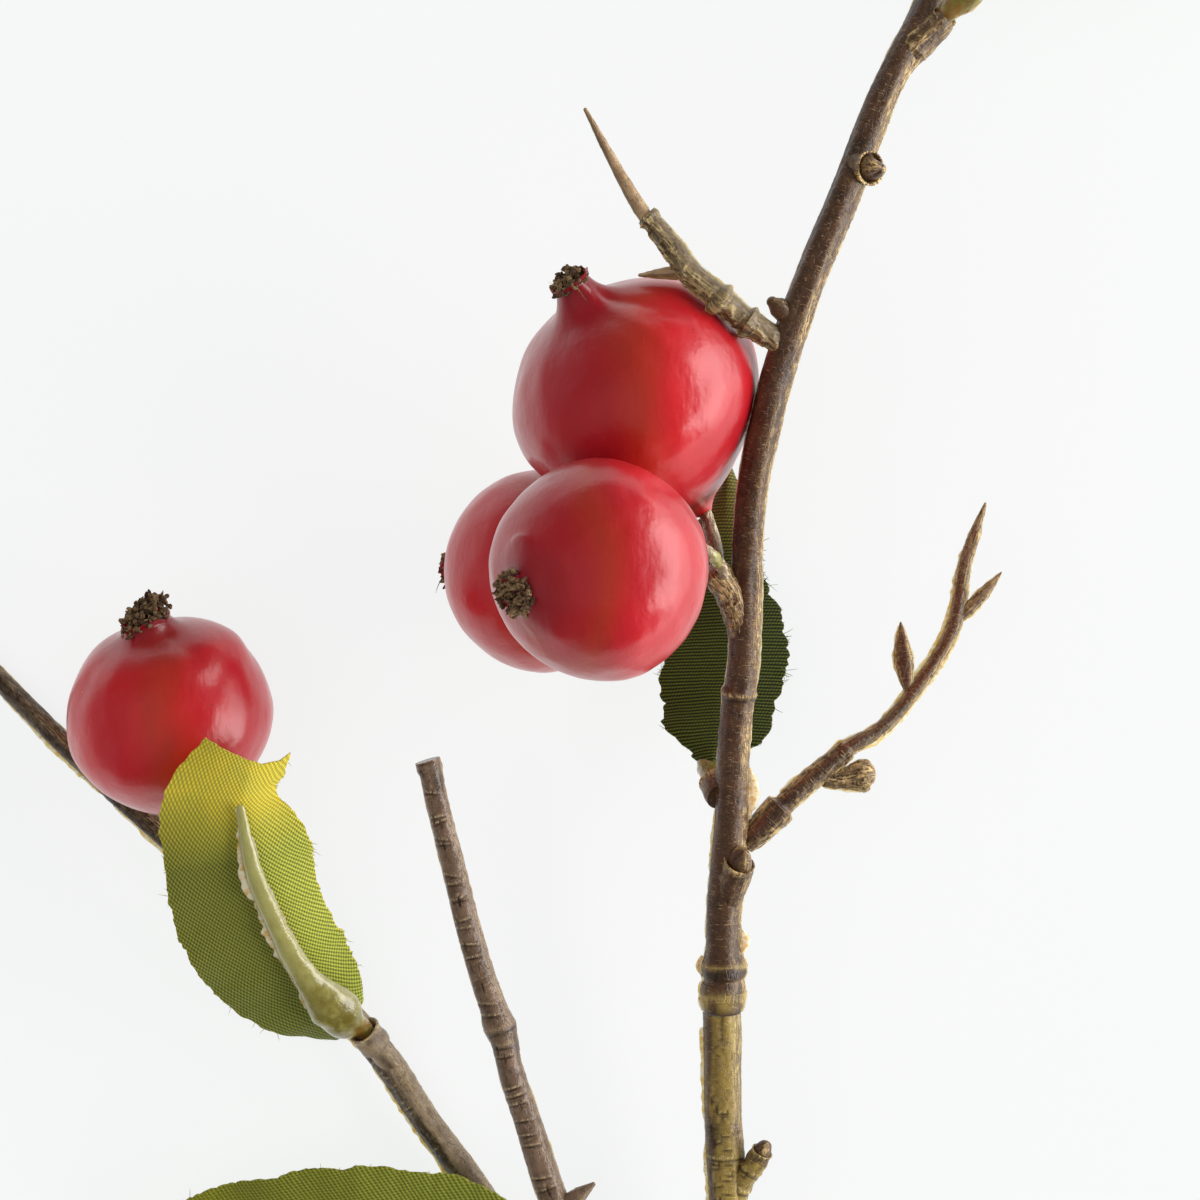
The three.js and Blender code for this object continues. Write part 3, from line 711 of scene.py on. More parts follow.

# %% [markdown]
# ## The main stem
# The main stem stands in the lower one behind two bulging rings with a waist. It is dark brown with fine pale
# scratches, and worn ridges run up its right-hand side, where their pale colour also stands in for the light
# from the lamps on that side as painted light. A ring scar crosses it half-way. Four lipped cups, the spur of
# the three fruits and a small bud grow from it.

# %% Main stem
MAIN_STEM = [
    (20.8, -39.2, 13.7, 2.5), (20.8, -38.8, 13.8, 2.72), (20.8, -38.2, 13.8, 2.9), (20.9, -37.3, 13.9, 3),
    (20.9, -36.5, 14, 2.92), (21, -35.9, 14.1, 2.7), (21, -35.4, 14.2, 2.45), (21, -34.9, 14.2, 2.62),
    (21, -34.4, 14.4, 2.8), (21, -33.7, 14.4, 2.86), (21, -33, 14.5, 2.72), (21, -32.3, 14.6, 2.4),
    (21, -31.4, 14.8, 2.22), (21, -27, 15.5, 2.15), (21.6, -20, 16.7, 2.3), (22, -12.4, 18, 2.05),
    (22.4, -2.2, 19.7, 2), (22.7, 0.4, 20.2, 2.05), (22.8, 1.4, 20.4, 2.25), (22.9, 1.9, 20.5, 2),
    (23.6, 11, 22.8, 2.05), (23.7, 18, 24.8, 1.95), (24.2, 26.6, 28, 1.95), (26.4, 37.6, 31.3, 2),
    (30.2, 49.9, 32.6, 2), (35.3, 62.3, 31.6, 1.95), (40.3, 75, 28.6, 1.85), (46.6, 88, 23.8, 1.8),
    (51.5, 99, 16.2, 1.6), (55, 108.5, 7.6, 1.4), (57.2, 114.4, 2.3, 1.3), (58.3, 117.4, 1.2, 0.7),
]
FRUIT_SPUR = [
    (23.3, 6.5, 21.4, 1.6), (23.2, 9, 22.1, 1.9), (22.7, 11.5, 23, 2.05), (21.6, 14, 23.9, 2.1),
    (19.5, 16.6, 25, 1.9),
]
STEM_BUD = [(29.6, 47, 32.5, 0.9), (28.4, 48, 32.9, 1.35), (27.2, 49, 33.3, 1.3), (26.5, 49.6, 33.4, 0.7)]
FORK_COLLAR = [
    (20.9, -28.6, 14.4, 1.2), (21.4, -25.6, 16, 1.75), (22, -23.2, 17.2, 1.95), (22.6, -21.3, 18.2, 1.95),
]
TOP_NODE = [(42.8, 79.4, 26.2, 1.5), (44.2, 81.6, 26.4, 2.15), (46, 83.2, 26.4, 1.9), (47.6, 84.6, 26.4, 1.7)]
UPPER_CUP = ((38.1, 66.3, 31.7), (0.62, -0.08, 0.78))
FORK_CUP = ((22.7, -21, 18.3), (0.26, 0.76, 0.6))
TOP_LEAF_CUP = ((47.8, 85.2, 26.2), (0.5, 0.62, 0.6))
REAR_LEAF_CUP = ((20.2, -10.6, 15.9), (-0.32, 0.62, -0.72))

make_piece("main_stem_bark", [
    bark_skin(MAIN_STEM, 21, around=64, step=0.24, bulge=(0, 1), flutes=0.22, side=0.22, spread=0.12,
              wear=1.0, rings=[
                  ((22.8, 1.2, 20.3), 0.06, 0.35, 1.0, 0), ((20.9, -37.9, 13.8), 0.03, 1.0, 0.3, 1.5),
                  ((21, -33.6, 14.4), 0.02, 0.45, 0.5, 1.6)]),
    bark_skin(FRUIT_SPUR, 22, around=56, step=0.13, bulge=(1, 0.3), flutes=0.16, net=0.2, side=0.1,
              spread=0.4, wear=1.0),
    bark_skin(STEM_BUD, 23, around=32, step=0.15, wear=0.4),
    bark_skin(FORK_COLLAR, 24, around=48, step=0.2, bulge=(1, 0), flutes=0.12, net=0.06, side=0.2, wear=0.8),
    bark_skin(TOP_NODE, 30, around=48, step=0.2, flutes=0.12, net=0.1, side=0.1, spread=0.3, wear=1.0),
    *[cup_skin(*cup, 25 + n, size) for n, (cup, size) in enumerate(
        [(UPPER_CUP, 1.04), (FORK_CUP, 1.0), (TOP_LEAF_CUP, 0.8), (REAR_LEAF_CUP, 1.0)])],
], [dark_bark], ["main_stem"])

# %% [markdown]
# ## The thorn twig
# A short grey twig crosses over the top fruit. It steps down in sleeves with raised lips, has a
# small side thorn, and ends in a long smooth thorn with pale edges. Fine golden ridges cover its
# lower left side.

# %% Thorn twig
THORN_TWIG = [
    (28.4, 44.1, 32.2, 1.5), (24.2, 46.8, 33.3, 1.65), (23.7, 47.1, 33.4, 2.1), (23.4, 47.3, 33.4, 2.12),
    (23.1, 47.5, 33.5, 1.55), (20.7, 49.5, 34.1, 1.62), (20.3, 49.8, 34.2, 2.15), (19.9, 50.2, 34.3, 2.15),
    (19.6, 50.5, 34.3, 1.55), (16.6, 52.9, 34.2, 1.6), (14.1, 56.5, 33.6, 1.4), (11.9, 59.3, 33.1, 1.25),
    (11.4, 59.9, 33, 1.5), (11, 60.3, 33, 1.35),
]
THORN = [
    (12.2, 58.2, 33, 0.75), (10.4, 60.9, 33, 0.95), (8.6, 63.9, 33, 0.82), (5.9, 68.8, 33.3, 0.56),
    (3.5, 73.3, 33.5, 0.26),
]
SIDE_THORN = [(16.4, 53.3, 34, 1.1), (14.6, 53.2, 33.6, 0.95), (12.4, 53.1, 33, 0.62), (10.2, 53, 32.1, 0.2)]

# the patch colours of these two are painted shade, in strips down the left sides of the thorn twig and its
# thorns, away from the lamps
thorn_bark = bark_material(
    "thorn_twig_bark", paint(116, 98, 76), paint(92, 75, 55), paint(40, 27, 18), paint(214, 192, 130),
    paint(56, 42, 29), 0.34, scratches=0.1, worms=1.0)
smooth_thorn = bark_material(
    "smooth_thorn", paint(178, 150, 116), paint(150, 122, 88), paint(84, 60, 40), paint(214, 178, 116),
    paint(110, 86, 54), 0.34, scratches=0.0, worms=0.1)
thorns = [
    bark_skin(THORN, 32, around=32, step=0.2, flutes=0.04, net=0, oval=0.02, side=0.2, wear=0.5, rim=0.8,
              panel=(-0.17, 0.07, 0.07)),
    bark_skin(SIDE_THORN, 33, around=28, step=0.18, flutes=0.04, net=0, oval=0.02, wear=0.5, rim=0.8,
              panel=(-0.1, 0.1, 0.1)),
]
for skin in thorns:
    skin.paint = 1
make_piece("thorn_twig_bark", [
    bark_skin(THORN_TWIG, 31, around=64, step=0.14, bulge=(0, 0), net=0.3, side=-0.13, spread=0.15, wear=0.75,
              rim=0.8, panel=(-0.2, 0.14, 0.14)),
    *thorns,
], [thorn_bark, smooth_thorn], ["thorn_twig"])

# %% [markdown]
# ## The bud twig
# This twig leaves the fork on the right in a stepped sleeve. It carries a stub that flares like a
# fan, and two flat buds with golden rims, and thins to a pointed golden tip.

# %% Bud twig
BUD_TWIG = [
    (23.6, -18.1, 16, 1.3), (25, -16.7, 16.2, 1.8), (27.6, -14, 16.4, 2.1), (28.2, -13.4, 16.4, 2.05),
    (28.5, -13.1, 16.4, 1.4), (31.4, -10.4, 16.1, 1.35), (35.6, -7, 15.4, 1.3), (36.6, -6.1, 15.2, 1.35),
    (37, -5.8, 15.2, 1.05), (40.1, -4.1, 14.4, 0.95), (46.4, 2.7, 12.4, 0.95), (50.6, 9.7, 10.6, 0.95),
    (52.1, 17.4, 9, 0.88), (53.3, 21, 8.4, 0.84), (54.1, 23.4, 8, 0.5), (54.8, 25.4, 7.8, 0.1),
]
THUMB = [
    (32.4, -9.3, 15.9, 0.8), (34.2, -9.9, 15.9, 1.0), (35.8, -9.9, 15.9, 1.15), (37, -9.7, 15.8, 1.5),
    (38, -9.5, 15.8, 1.9), (38.8, -9.4, 15.8, 2.05), (39.5, -9.3, 15.8, 1.75), (39.8, -9.3, 15.8, 1.2),
]
LOWER_BUD = [
    (44.4, 1.3, 13.3, 0.35), (44.3, 2.6, 13.1, 0.85), (44.1, 4.4, 12.9, 1.25), (43.9, 6, 12.7, 1.2),
    (43.8, 8.2, 12.3, 0.75), (43.7, 10, 12, 0.12),
]
UPPER_BUD = [
    (51.1, 10.1, 10.5, 0.45), (52.4, 11.6, 10.2, 0.85), (54.4, 13.7, 9.9, 0.8), (55.8, 15.3, 9.6, 0.45),
    (56.7, 16.4, 9.5, 0.1),
]

bud_bark = bark_material(
    "bud_twig_bark", paint(76, 51, 34), paint(54, 35, 23), paint(30, 19, 13), paint(222, 190, 128),
    paint(88, 40, 20), 0.33, worms=0.9)
make_piece("bud_twig_bark", [
    bark_skin(BUD_TWIG, 41, around=48, step=0.2, bulge=(0, 1), flutes=0.14, net=0.14, side=0.18, spread=0.12,
              wear=0.8, rim=1.3, gild=0.3, panel=(-0.06, 0.04, 0.12)),
    bark_skin(THUMB, 42, around=44, step=0.12, bulge=(1, 0.4), squash=0.5, flutes=0.2, net=0.15, side=0,
              spread=0.3, wear=0.5, rim=1.2, gild=0.5),
    bark_skin(LOWER_BUD, 43, around=36, step=0.15, squash=0.6, flutes=0.1, net=0, side=0, wear=0.2, rim=1.6,
              gild=0.3, panel=(0, 0.13, 0.13)),
    bark_skin(UPPER_BUD, 44, around=32, step=0.15, squash=0.7, flutes=0.08, net=0, side=0, wear=0.3, rim=1.6,
              gild=0.2, panel=(-0.05, 0.13, 0.13)),
], [bud_bark], ["bud_twig"])

# %% [markdown]
# ## The left twig and the peg twig
# The long left twig leaves the lower stem near its foot and runs on past the left fruit. The peg
# twig leaves the left one, has a swollen node half-way, and ends in a blunt cut peg.

# %% Left and peg twigs
LEFT_TWIG = [
    (20.2, -97.3, 5, 1.9), (17, -94.4, 4.8, 2.1), (12, -89.5, 4.7, 2.1), (6.7, -84.3, 4.6, 2.3),
    (0.1, -76.3, 4.2, 2.1), (-6.1, -69.9, 4, 2), (-11.6, -62.1, 3.9, 1.9), (-17.3, -54.4, 3.8, 1.85),
    (-22.4, -46.6, 3.7, 1.9), (-27.7, -40.2, 3.6, 1.8), (-34.8, -33.1, 3.4, 1.65), (-43.3, -24.7, 3, 1.55),
    (-51.7, -17.2, 2.6, 1.5), (-60.3, -9.4, 2.4, 1.45), (-67.3, -2.7, 2.4, 1.4), (-77.5, 7.7, 1.7, 1.2),
    (-82.4, 13, 1.2, 0.9), (-83.7, 14.8, 1, 0.5),
]
LEAF_SPUR = [(-21.4, -47.6, 3.8, 1.5), (-23.2, -45.2, 5.4, 1.5), (-24.3, -43.6, 6.6, 1.6)]
BOTTOM_SPUR = [(-0.8, -76.2, 4.2, 1.5), (-1.9, -74.1, 6, 1.5), (-2.3, -73.3, 6.8, 1.6)]
LEFT_LEAF_CUP = ((-24.6, -43.1, 7.1), (-0.52, 0.68, 0.52))
BOTTOM_LEAF_CUP = ((-2.4, -73, 7.1), (-0.62, 0.42, 0.66))
PEG_TWIG = [
    (6.2, -83.2, 5, 1.8), (5, -80.4, 6, 1.9), (3.4, -75.3, 7, 1.9), (0.8, -68, 8.4, 1.85),
    (-1.6, -61.4, 9.6, 1.85), (-4, -53.6, 10.8, 1.7), (-6.4, -45.8, 12, 1.65), (-6.9, -43.2, 12.4, 1.8),
    (-7.3, -41.9, 12.6, 2.1), (-7.8, -40.5, 12.8, 2.05), (-8.2, -39.3, 13, 1.75), (-9.4, -35.9, 13.3, 1.6),
    (-11.7, -27.8, 14.6, 1.55), (-13.5, -20.1, 15.8, 1.5), (-15.8, -10.6, 16.9, 1.4), (-16.1, -9.1, 17, 1.45),
    (-16.3, -8.4, 17.1, 1.65), (-16.6, -7.4, 17.2, 1.55),
]
PEG_BUD = [(-0.6, -65.2, 9, 0.9), (1.2, -64.2, 9.5, 1.1), (2.8, -63.2, 9.9, 1.0), (4.4, -61.9, 10.2, 0.3)]

peg_bark = bark_material(
    "peg_twig_bark", paint(126, 103, 84), paint(98, 77, 60), paint(42, 28, 20), paint(214, 190, 146),
    paint(66, 48, 34), 0.17, scratches=0.12, worms=0.8)
make_piece("left_twig_bark", [
    # the dark panel on the left side is painted shade, away from the lamps; past half-way it covers the whole
    # twig
    bark_skin(LEFT_TWIG, 51, around=52, step=0.24, flutes=0.16, side=0.12, spread=0.14, wear=0.5,
              panel=(-0.2, 0.2, 0.6), rungs=([-0.13], 1.5, 4, 100, 0.8)),
    bark_skin(LEAF_SPUR, 52, around=36, step=0.2, bulge=(1, 0)),
    bark_skin(BOTTOM_SPUR, 53, around=36, step=0.2, bulge=(1, 0)),
    cup_skin(*LEFT_LEAF_CUP, 54),
    cup_skin(*BOTTOM_LEAF_CUP, 55),
], [pale_bark], ["left_twig"])

make_piece("peg_twig_bark", [
    bark_skin(PEG_TWIG, 61, around=56, step=0.17, bulge=(0, 0), flutes=0.1, net=0.06, side=0.2, spread=0.1,
              wear=0.4, rungs=([-0.07], 1.7, 2, 82, 1.5),
              rings=[((-7.5, -41.3, 12.7), 0.12, 0.4, 0.3, 0), ((-7, -43.4, 12.4), 0.06, 0.35, 0.3, 0)]),
    bark_skin(PEG_BUD, 62, around=28, step=0.18),
], [peg_bark], ["peg_twig"])

# %% [markdown]
# ## Blank plugs
# Cups that hold no leaf are closed with a blank plug. Its cap is pinched on two sides like a wedge,
# and the wedge's edge is worn pale. The pinch is a wave round the cap that is strongest at its end.

# %% Plugs
PLUG_PROFILE = [
    (-1.1, 1.1), (-1.1, 1.45), (0, 1.5), (0.8, 1.52), (1.4, 1.46), (1.9, 1.3), (2.3, 1.05), (2.6, 0.7),
    (2.75, 0.15),
]
PLUG_WORN = [0, 0, 0, 0.1, 0.4, 0.7, 0.9, 1, 1]


def plug_skin(at, facing, seed, size, pinch):
    """A turned plug whose cap is pushed in on two sides, by a wave of two crests round it."""
    around = 44
    skin = turned_skin(at, facing, PLUG_PROFILE, size, seed, 0.08, PLUG_WORN, around)
    axis, middle = unit(facing), np.array(at)
    height = (skin.corners - middle) @ axis
    outward = skin.corners - middle - height[..., None] * axis
    crest = np.abs(np.cos(turns_round(around) * 2 * np.pi + seed))
    share = np.clip(height / 2.4, 0, 1)
    skin.corners = skin.corners - outward * (pinch * share * (1 - crest))[..., None]
    skin.marks["crack"] = np.clip(0.5 * share * (1 - crest * 3), 0, 1) + np.clip(0.4 - height, 0, 1) * 0.8
    skin.marks["worn"] = skin.marks["worn"] * crest**4
    return skin


PLUGS = {  # each is (its cup, seed, size, pinch)
    "upper": (UPPER_CUP, 71, 1.12, 0.6),
    "fork": (FORK_CUP, 72, 1.15, 0.6),
    "stub": (STUB_CUP, 73, 0.8, 0.25),
}
for place, (cup, seed, size, pinch) in PLUGS.items():
    skin = plug_skin(*cup, seed, size, pinch)
    make_piece(f"{place}_plug_cap", [skin], [dark_bark], [f"{place}_plug"])

# %% [markdown]
# ## Fruits
# Each fruit is a soft coat over a ball, drawn out into a neck at the calyx. The coat is smooth and
# satin, deep crimson, with shallow dents, a few pits and small folds round the neck. No two are
# alike, so each has its own sizes.

# %% Fruit sizes
# All in millimetres from the fruit's middle. crown and tail are how far the body reaches towards the calyx
# and the stalk, and neck and drawn are how far its ends are drawn out past that. waist, rim and collar are
# the half widths of the neck, its rim and the stalk's end. Each bump is (turn in degrees, height along the
# axis, half width, half height, amount). The pair just before folds is not in millimetres: it places the
# painted light on each fruit's right-hand side, where it starts as a share of the radius and how much of it
# the rest of the fruit has.
FRUITS = {
    "top": dict(
        centre=(9.9, 38.3, 26), axis=(-0.47, 0.79, 0.4), seed=81,
        radius=16, crown=14, power=2.15, neck=3.2, waist=2.3, rim=2.8, fillet=1.05,
        tail=16, taper=0.28, drawn=2.2, collar=1.2, hollow=1.5, lit_side_span=(-0.14, 0.1), folds=0.9,
        bumps=[(78, 11.8, 2.2, 3.2, 0.9), (50, 12.6, 1.2, 3.0, -0.7), (28, 12.4, 1.2, 3, 0.5),
               (-60, 12.6, 1.4, 2.6, 0.4), (-100, 11, 3, 3, -0.4), (150, 10, 3, 3, -0.4)]),
    "front": dict(
        centre=(5.3, 16.6, 45.1), axis=(-0.73, -0.21, 0.65), seed=82,
        radius=13.5, crown=12.9, neck=0.8, waist=2.2, rim=2.25, fillet=1.2,
        tail=13.4, taper=0.03, drawn=0.6, collar=1.1, hollow=0.8, lit_side_span=(0.06, 0.1), folds=0.5,
        bumps=[(80, 11.9, 2.0, 0.6, 0.9), (10, 12.0, 2.2, 0.7, -0.6), (-70, 11.8, 1.4, 0.8, 0.4),
               (-110, 11.6, 1.6, 0.8, -0.4), (150, 11.6, 1.6, 0.8, 0.3)]),
    "back": dict(
        centre=(-1.7, 16.6, 12.9), axis=(-0.86, 0.03, -0.5), seed=83,
        radius=12.9, crown=12.6, neck=1.2, waist=2.1, rim=2.2, fillet=1.2,
        tail=12.6, taper=0.14, drawn=0.6, collar=1.1, hollow=0.8, lit_side_span=(0.05, 0.6), folds=0.4,
        bumps=[]),
    "left": dict(
        centre=(-49.4, -2.7, 12.65), axis=(-0.19, 0.91, 0.36), seed=84,
        radius=13.1, crown=12.4, power=3.2, neck=1.7, waist=2.9, rim=3.1, fillet=0.9,
        tail=12.4, taper=0.2, drawn=0.6, collar=1.1, hollow=0.8, lit_side_span=(0.05, 0.75), folds=0.6,
        bumps=[(82, 10.4, 4.5, 3.0, 0.7), (40, 11.9, 1.6, 1.4, -0.4), (-62, 9.6, 1.6, 2.6, -0.5),
               (-35, 10, 1.4, 2.4, 0.4), (-95, 9, 2.5, 2.5, -0.3)]),
}
print("fruits:", {name: f"{2 * fruit['radius']} mm" for name, fruit in FRUITS.items()})

# %% [markdown]
# ## The fruits' profile
# A sphere would need its poles pulled about, so the fruit is a profile along its own axis: half an
# ellipse towards the calyx, a narrowing half towards the stalk, and both ends drawn out in a hollow
# curve.

# %% Fruit profile
TAPER_POWER = 1.5


def drawn_end(radius, length, taper, reach, thin, fillet, power=2.0):
    """Heights and widths of one end of a fruit, from where the body is 0.8 of its length out.

    The width falls evenly to `thin`, in steps that shrink. The height is that of the body, a
    narrowing ellipse: length x share, where share is sqrt(1 - (width / (radius (1 - taper
    share^1.5)))^power), found in a few rounds. A power over 2 makes fuller shoulders. The drawn-out
    neck is added as reach exp(-(width - thin) / fillet), the hollow curve at the neck's foot.
    """
    steps = np.linspace(0, 1, 38)[1:]
    first = radius * 0.36 ** (1 / power) * (1 - taper * 0.8**TAPER_POWER)
    width = thin + (first - thin) * (1 - steps) ** 1.6
    share = np.full(len(steps), 0.9)
    for _ in range(8):
        share = np.sqrt(1 - (width / (radius * (1 - taper * share**TAPER_POWER))) ** power)
    return length * share + reach * np.exp(-(width - thin) / fillet), width


def fruit_profile(
        radius, crown, neck, waist, rim, fillet, tail, taper, drawn, collar, hollow, power=2.0):
    """Heights along the axis and the coat's width at each, from the stalk to inside the neck.

    The body's width is radius (1 - share^2)^(1 / power), where share is the height over the crown's
    or the tail's length. On the stalk's side the power is 2, and the body narrows as in drawn_end.
    """
    share = -np.cos(np.linspace(math.acos(0.8), math.acos(-0.8), 78))
    body = radius * (1 - share**2) ** np.where(share > 0, 1 / power, 0.5)
    body = body * (1 - taper * np.clip(-share, 0, 1) ** TAPER_POWER)
    down, thin = drawn_end(radius, tail, taper, drawn, collar, hollow)
    up, wide = drawn_end(radius, crown, 0, neck, waist, fillet, power)
    flare = (rim - waist) * np.array([0.25, 0.6, 1.0, 0.97, 0.87, 0.6, 0.3, 0.02])
    lip = np.array([0.2, 0.4, 0.65, 0.75, 0.65, 0.2, 0.1, 0.1])
    inner = np.concatenate([waist + flare[:3], rim * flare[3:] / (rim - waist)])
    foot = np.array([0.1, 0.08, 0.04])
    middle = np.where(share < 0, tail, crown) * share
    height = np.concatenate([-down[-1] - foot, -down[::-1], middle, up, up[-1] + lip])
    width = np.concatenate([thin[-1] * np.array([0.02, 0.5, 0.85]), thin[::-1], body, wide, inner])
    return height, width


height, width = fruit_profile(13, 12, 1, 2, 2.3, 1, 12, 0.1, 0.6, 1.1, 0.8)
print(f"a plain fruit of {len(height)} rings is {2 * width.max():.1f} mm wide, {np.ptp(height):.1f} mm long")

# %% [markdown]
# ## The fruits' skin
# The profile is spun round the fruit's own axis. Soft lumps, folds and dents are pushed into it
# afterwards as sums over the whole array of corners, which is quicker and smoother than sculpting.

# %% Fruit skins
FRUIT_CORNERS = 160


def coat_marks(rings, height, shape, lit_side_span, seed):
    """Where the coat's colours change, each from 0 to 1. neck and tail grow towards both ends.

    The shade mark is painted shade: a soft browner strip along the crest that faces up, where the light from
    both sides is weakest. The bright mark is painted light: a wide strip right of it, a brighter red on the
    side that faces the right-hand lamps, which fades again towards that rim. One pair gives where that strip
    starts, as a share of the radius, and how much of it the rest of the fruit has.
    """
    crown, neck, tail = shape["crown"], shape["neck"], shape["tail"]
    start, rest = lit_side_span
    way = unit(rings)
    full = np.ones(rings.shape[:2])
    # painted shade: a browner strip down the middle of the upper side, where the fruit gets the least light
    crest = np.exp(-(((way[..., 0] + 0.02 + 0.1 * soft_lumps(rings, 14, seed + 4)) / 0.2) ** 2))
    # painted light: brighter towards the right-hand side, which the lamps fall on
    lighter = np.clip((way[..., 0] - start) * 3 + 0.3 * soft_lumps(rings, 14, seed + 5), 0, 1)
    return {
        "neck": np.clip((height - crown * 0.85) / (neck + crown * 0.15), 0, 1) * full,
        "tail": np.clip((-height - tail * 0.8) / (tail * 0.2), 0, 1) * full,
        "shade": crest * np.clip(way[..., 2] * 2, 0, 1),
        "bright": (rest + (1 - rest) * lighter) * np.clip(1.25 - way[..., 0] * 1.2, 0.25, 1),
    }


def fruit_skin(centre, axis, seed, folds, bumps, lit_side_span, **shape):
    """The profile spun round the fruit's axis, then pushed in and out.

    Added to the radius are soft lumps, folds that run down from the neck and fade away from it, and
    bumps, each exp(-(x / wide)^2 - (y / high)^2) round its own place on the coat. The neck's rim is
    ragged.
    """
    height, width = fruit_profile(**shape)
    height, width = height[:, None], width[:, None]
    axis = unit(axis)
    top = unit(np.array([0, 0, 1.0]) - axis * axis[2])
    side = np.cross(axis, top)
    turns = turns_round(FRUIT_CORNERS)
    angle = turns * 2 * np.pi
    out = np.cos(angle)[..., None] * top + np.sin(angle)[..., None] * side
    rings = height[..., None] * axis + width[..., None] * out
    crown, neck, radius = shape["crown"], shape["neck"], shape["radius"]
    body = np.clip(width / radius * 2, 0, 1)
    push = 0.25 * soft_lumps(rings, 15, seed) * body + 0.045 * soft_lumps(rings, 4, seed + 1) * body
    near_neck = np.exp(-(((height - crown * 0.95) / 2.4) ** 2))
    push = push + folds * (lattice_noise(height / 6, turns, 11, seed + 2) - 0.5) * near_neck
    for degrees, rise, wide, high, amount in bumps:
        x = ((turns - degrees / 360 + 0.5) % 1 - 0.5) * 2 * np.pi * np.maximum(width, 2)
        push = push + amount * np.exp(-((x / wide) ** 2) - ((height - rise) / high) ** 2)
    ragged = 0.8 * (lattice_noise(turns * 0, turns, 13, seed + 3) - 0.4)
    at_rim = np.clip((height - crown - neck * 0.6) / (neck * 0.4 + 0.5), 0, 1) * (width > 1.5)
    corners = np.array(centre) + rings + push[..., None] * out + (ragged * at_rim)[..., None] * axis
    steps = np.hypot(np.diff(height[:, 0]), np.diff(width[:, 0]))
    along = np.concatenate([[0], np.cumsum(steps)])
    across, up = np.meshgrid(np.linspace(0, 2 * np.pi * radius, FRUIT_CORNERS + 1), along)
    return SimpleNamespace(
        corners=corners,
        uv=np.stack([across, up], -1),
        marks=coat_marks(rings, height, shape, lit_side_span, seed),
        paint=0,
        flat_ends=False,
    )


print("a fruit's skin has", FRUIT_CORNERS, "corners once round")

# %% [markdown]
# ## The fruits' coat
# The coat is a thick satin paint. A little light goes into it, which keeps the shaded side warm, and a clear
# coat with a broad sheen gives the pale veil towards the rims. Pits are rare dark specks. The paint also
# holds painted light and shade: a brighter red on the side towards the right-hand lamps, a darker one away
# from them, a browner strip of painted shade down the middle, a darker neck, and pale specks that are painted
# glints.

# %% Fruit coat material
coat, shader = new_material(
    "crimson_fruit_coat", Specular_IOR_Level=0.1, Coat_Weight=0.9, Coat_Roughness=0.28,
    Coat_IOR=1.57, Subsurface_Weight=0.3, Subsurface_Scale=0.004)
shader.inputs["Subsurface Radius"].default_value = (1.0, 0.12, 0.08)
cloudy = between(coat, grain(coat, 9, detail=2.0), 0.3, 0.7)
# painted light and shade: the darker red lies away from the right-hand lamps and the brighter red towards
# them
colour = blend(coat, mark_of(coat, "bright"), paint(170, 16, 31), paint(208, 24, 36))
colour = blend(coat, times(coat, cloudy, 0.15), colour, paint(120, 12, 26))
# painted shade: the browner colour of the strip down the middle
colour = blend(coat, times(coat, mark_of(coat, "shade"), 0.45), colour, paint(168, 58, 18))
# darker crimson at the neck, which also paints the shade that falls there
colour = blend(coat, times(coat, mark_of(coat, "neck"), 0.85), colour, paint(118, 10, 26))
colour = blend(coat, times(coat, mark_of(coat, "tail"), 0.4), colour, paint(160, 20, 24))
place = add(coat, "TexCoord", "Object")
cells = {"Vector": place, "Scale": 1 / (2.4 * MM), "Randomness": 1.0}
near = add(coat, "TexVoronoi", "Distance", cells, feature="F1")
lot = add(coat, "TexVoronoi", "Color", cells, feature="F1")
share = add(coat, "SeparateColor", "Red", {"Color": lot})
dark_speck = times(coat, math_of(coat, "LESS_THAN", near, 0.05), math_of(coat, "GREATER_THAN", share, 0.82))
# pale specks in the highlight's pink are painted glints, and are also raised a little in the bump
glint_speck = times(coat, math_of(coat, "LESS_THAN", near, 0.04), math_of(coat, "LESS_THAN", share, 0.12))
colour = blend(coat, times(coat, dark_speck, 0.75), colour, paint(60, 14, 16))
colour = blend(coat, times(coat, glint_speck, 0.6), colour, paint(226, 150, 150))
link(coat, colour, shader, "Base Color")
smear = plus(coat, times(coat, grain(coat, 3.5, detail=4.0), 0.2), 0.3)
link(coat, smear, shader, "Roughness")
relief = math_of(coat, "SUBTRACT", plus(coat, grain(coat, 1.6, detail=5.0), glint_speck), dark_speck)
streaks = grain(coat, 5, stretch=(1.6, 0.5, 0.8), detail=3.0)
bump(coat, shader, plus(coat, relief, times(coat, streaks, 2.0)), 0.16, 0.45)

for name, fruit in FRUITS.items():
    make_piece(f"{name}_fruit_coat", [fruit_skin(**fruit)], [coat], [f"{name}_fruit"])

# %% [markdown]
# ## Calyx tufts
# The calyx is a brown tuft of dried crumbs glued on the neck's end, with a few thin curls at its
# rim. One crumb is a short bent grain with only a few faces. A hundred and more of them, each with
# its own place, length, bend and shade, make a tuft. A particle system could scatter them too, but
# an array of grains stays one plain mesh.

# %% Crumbs and threads


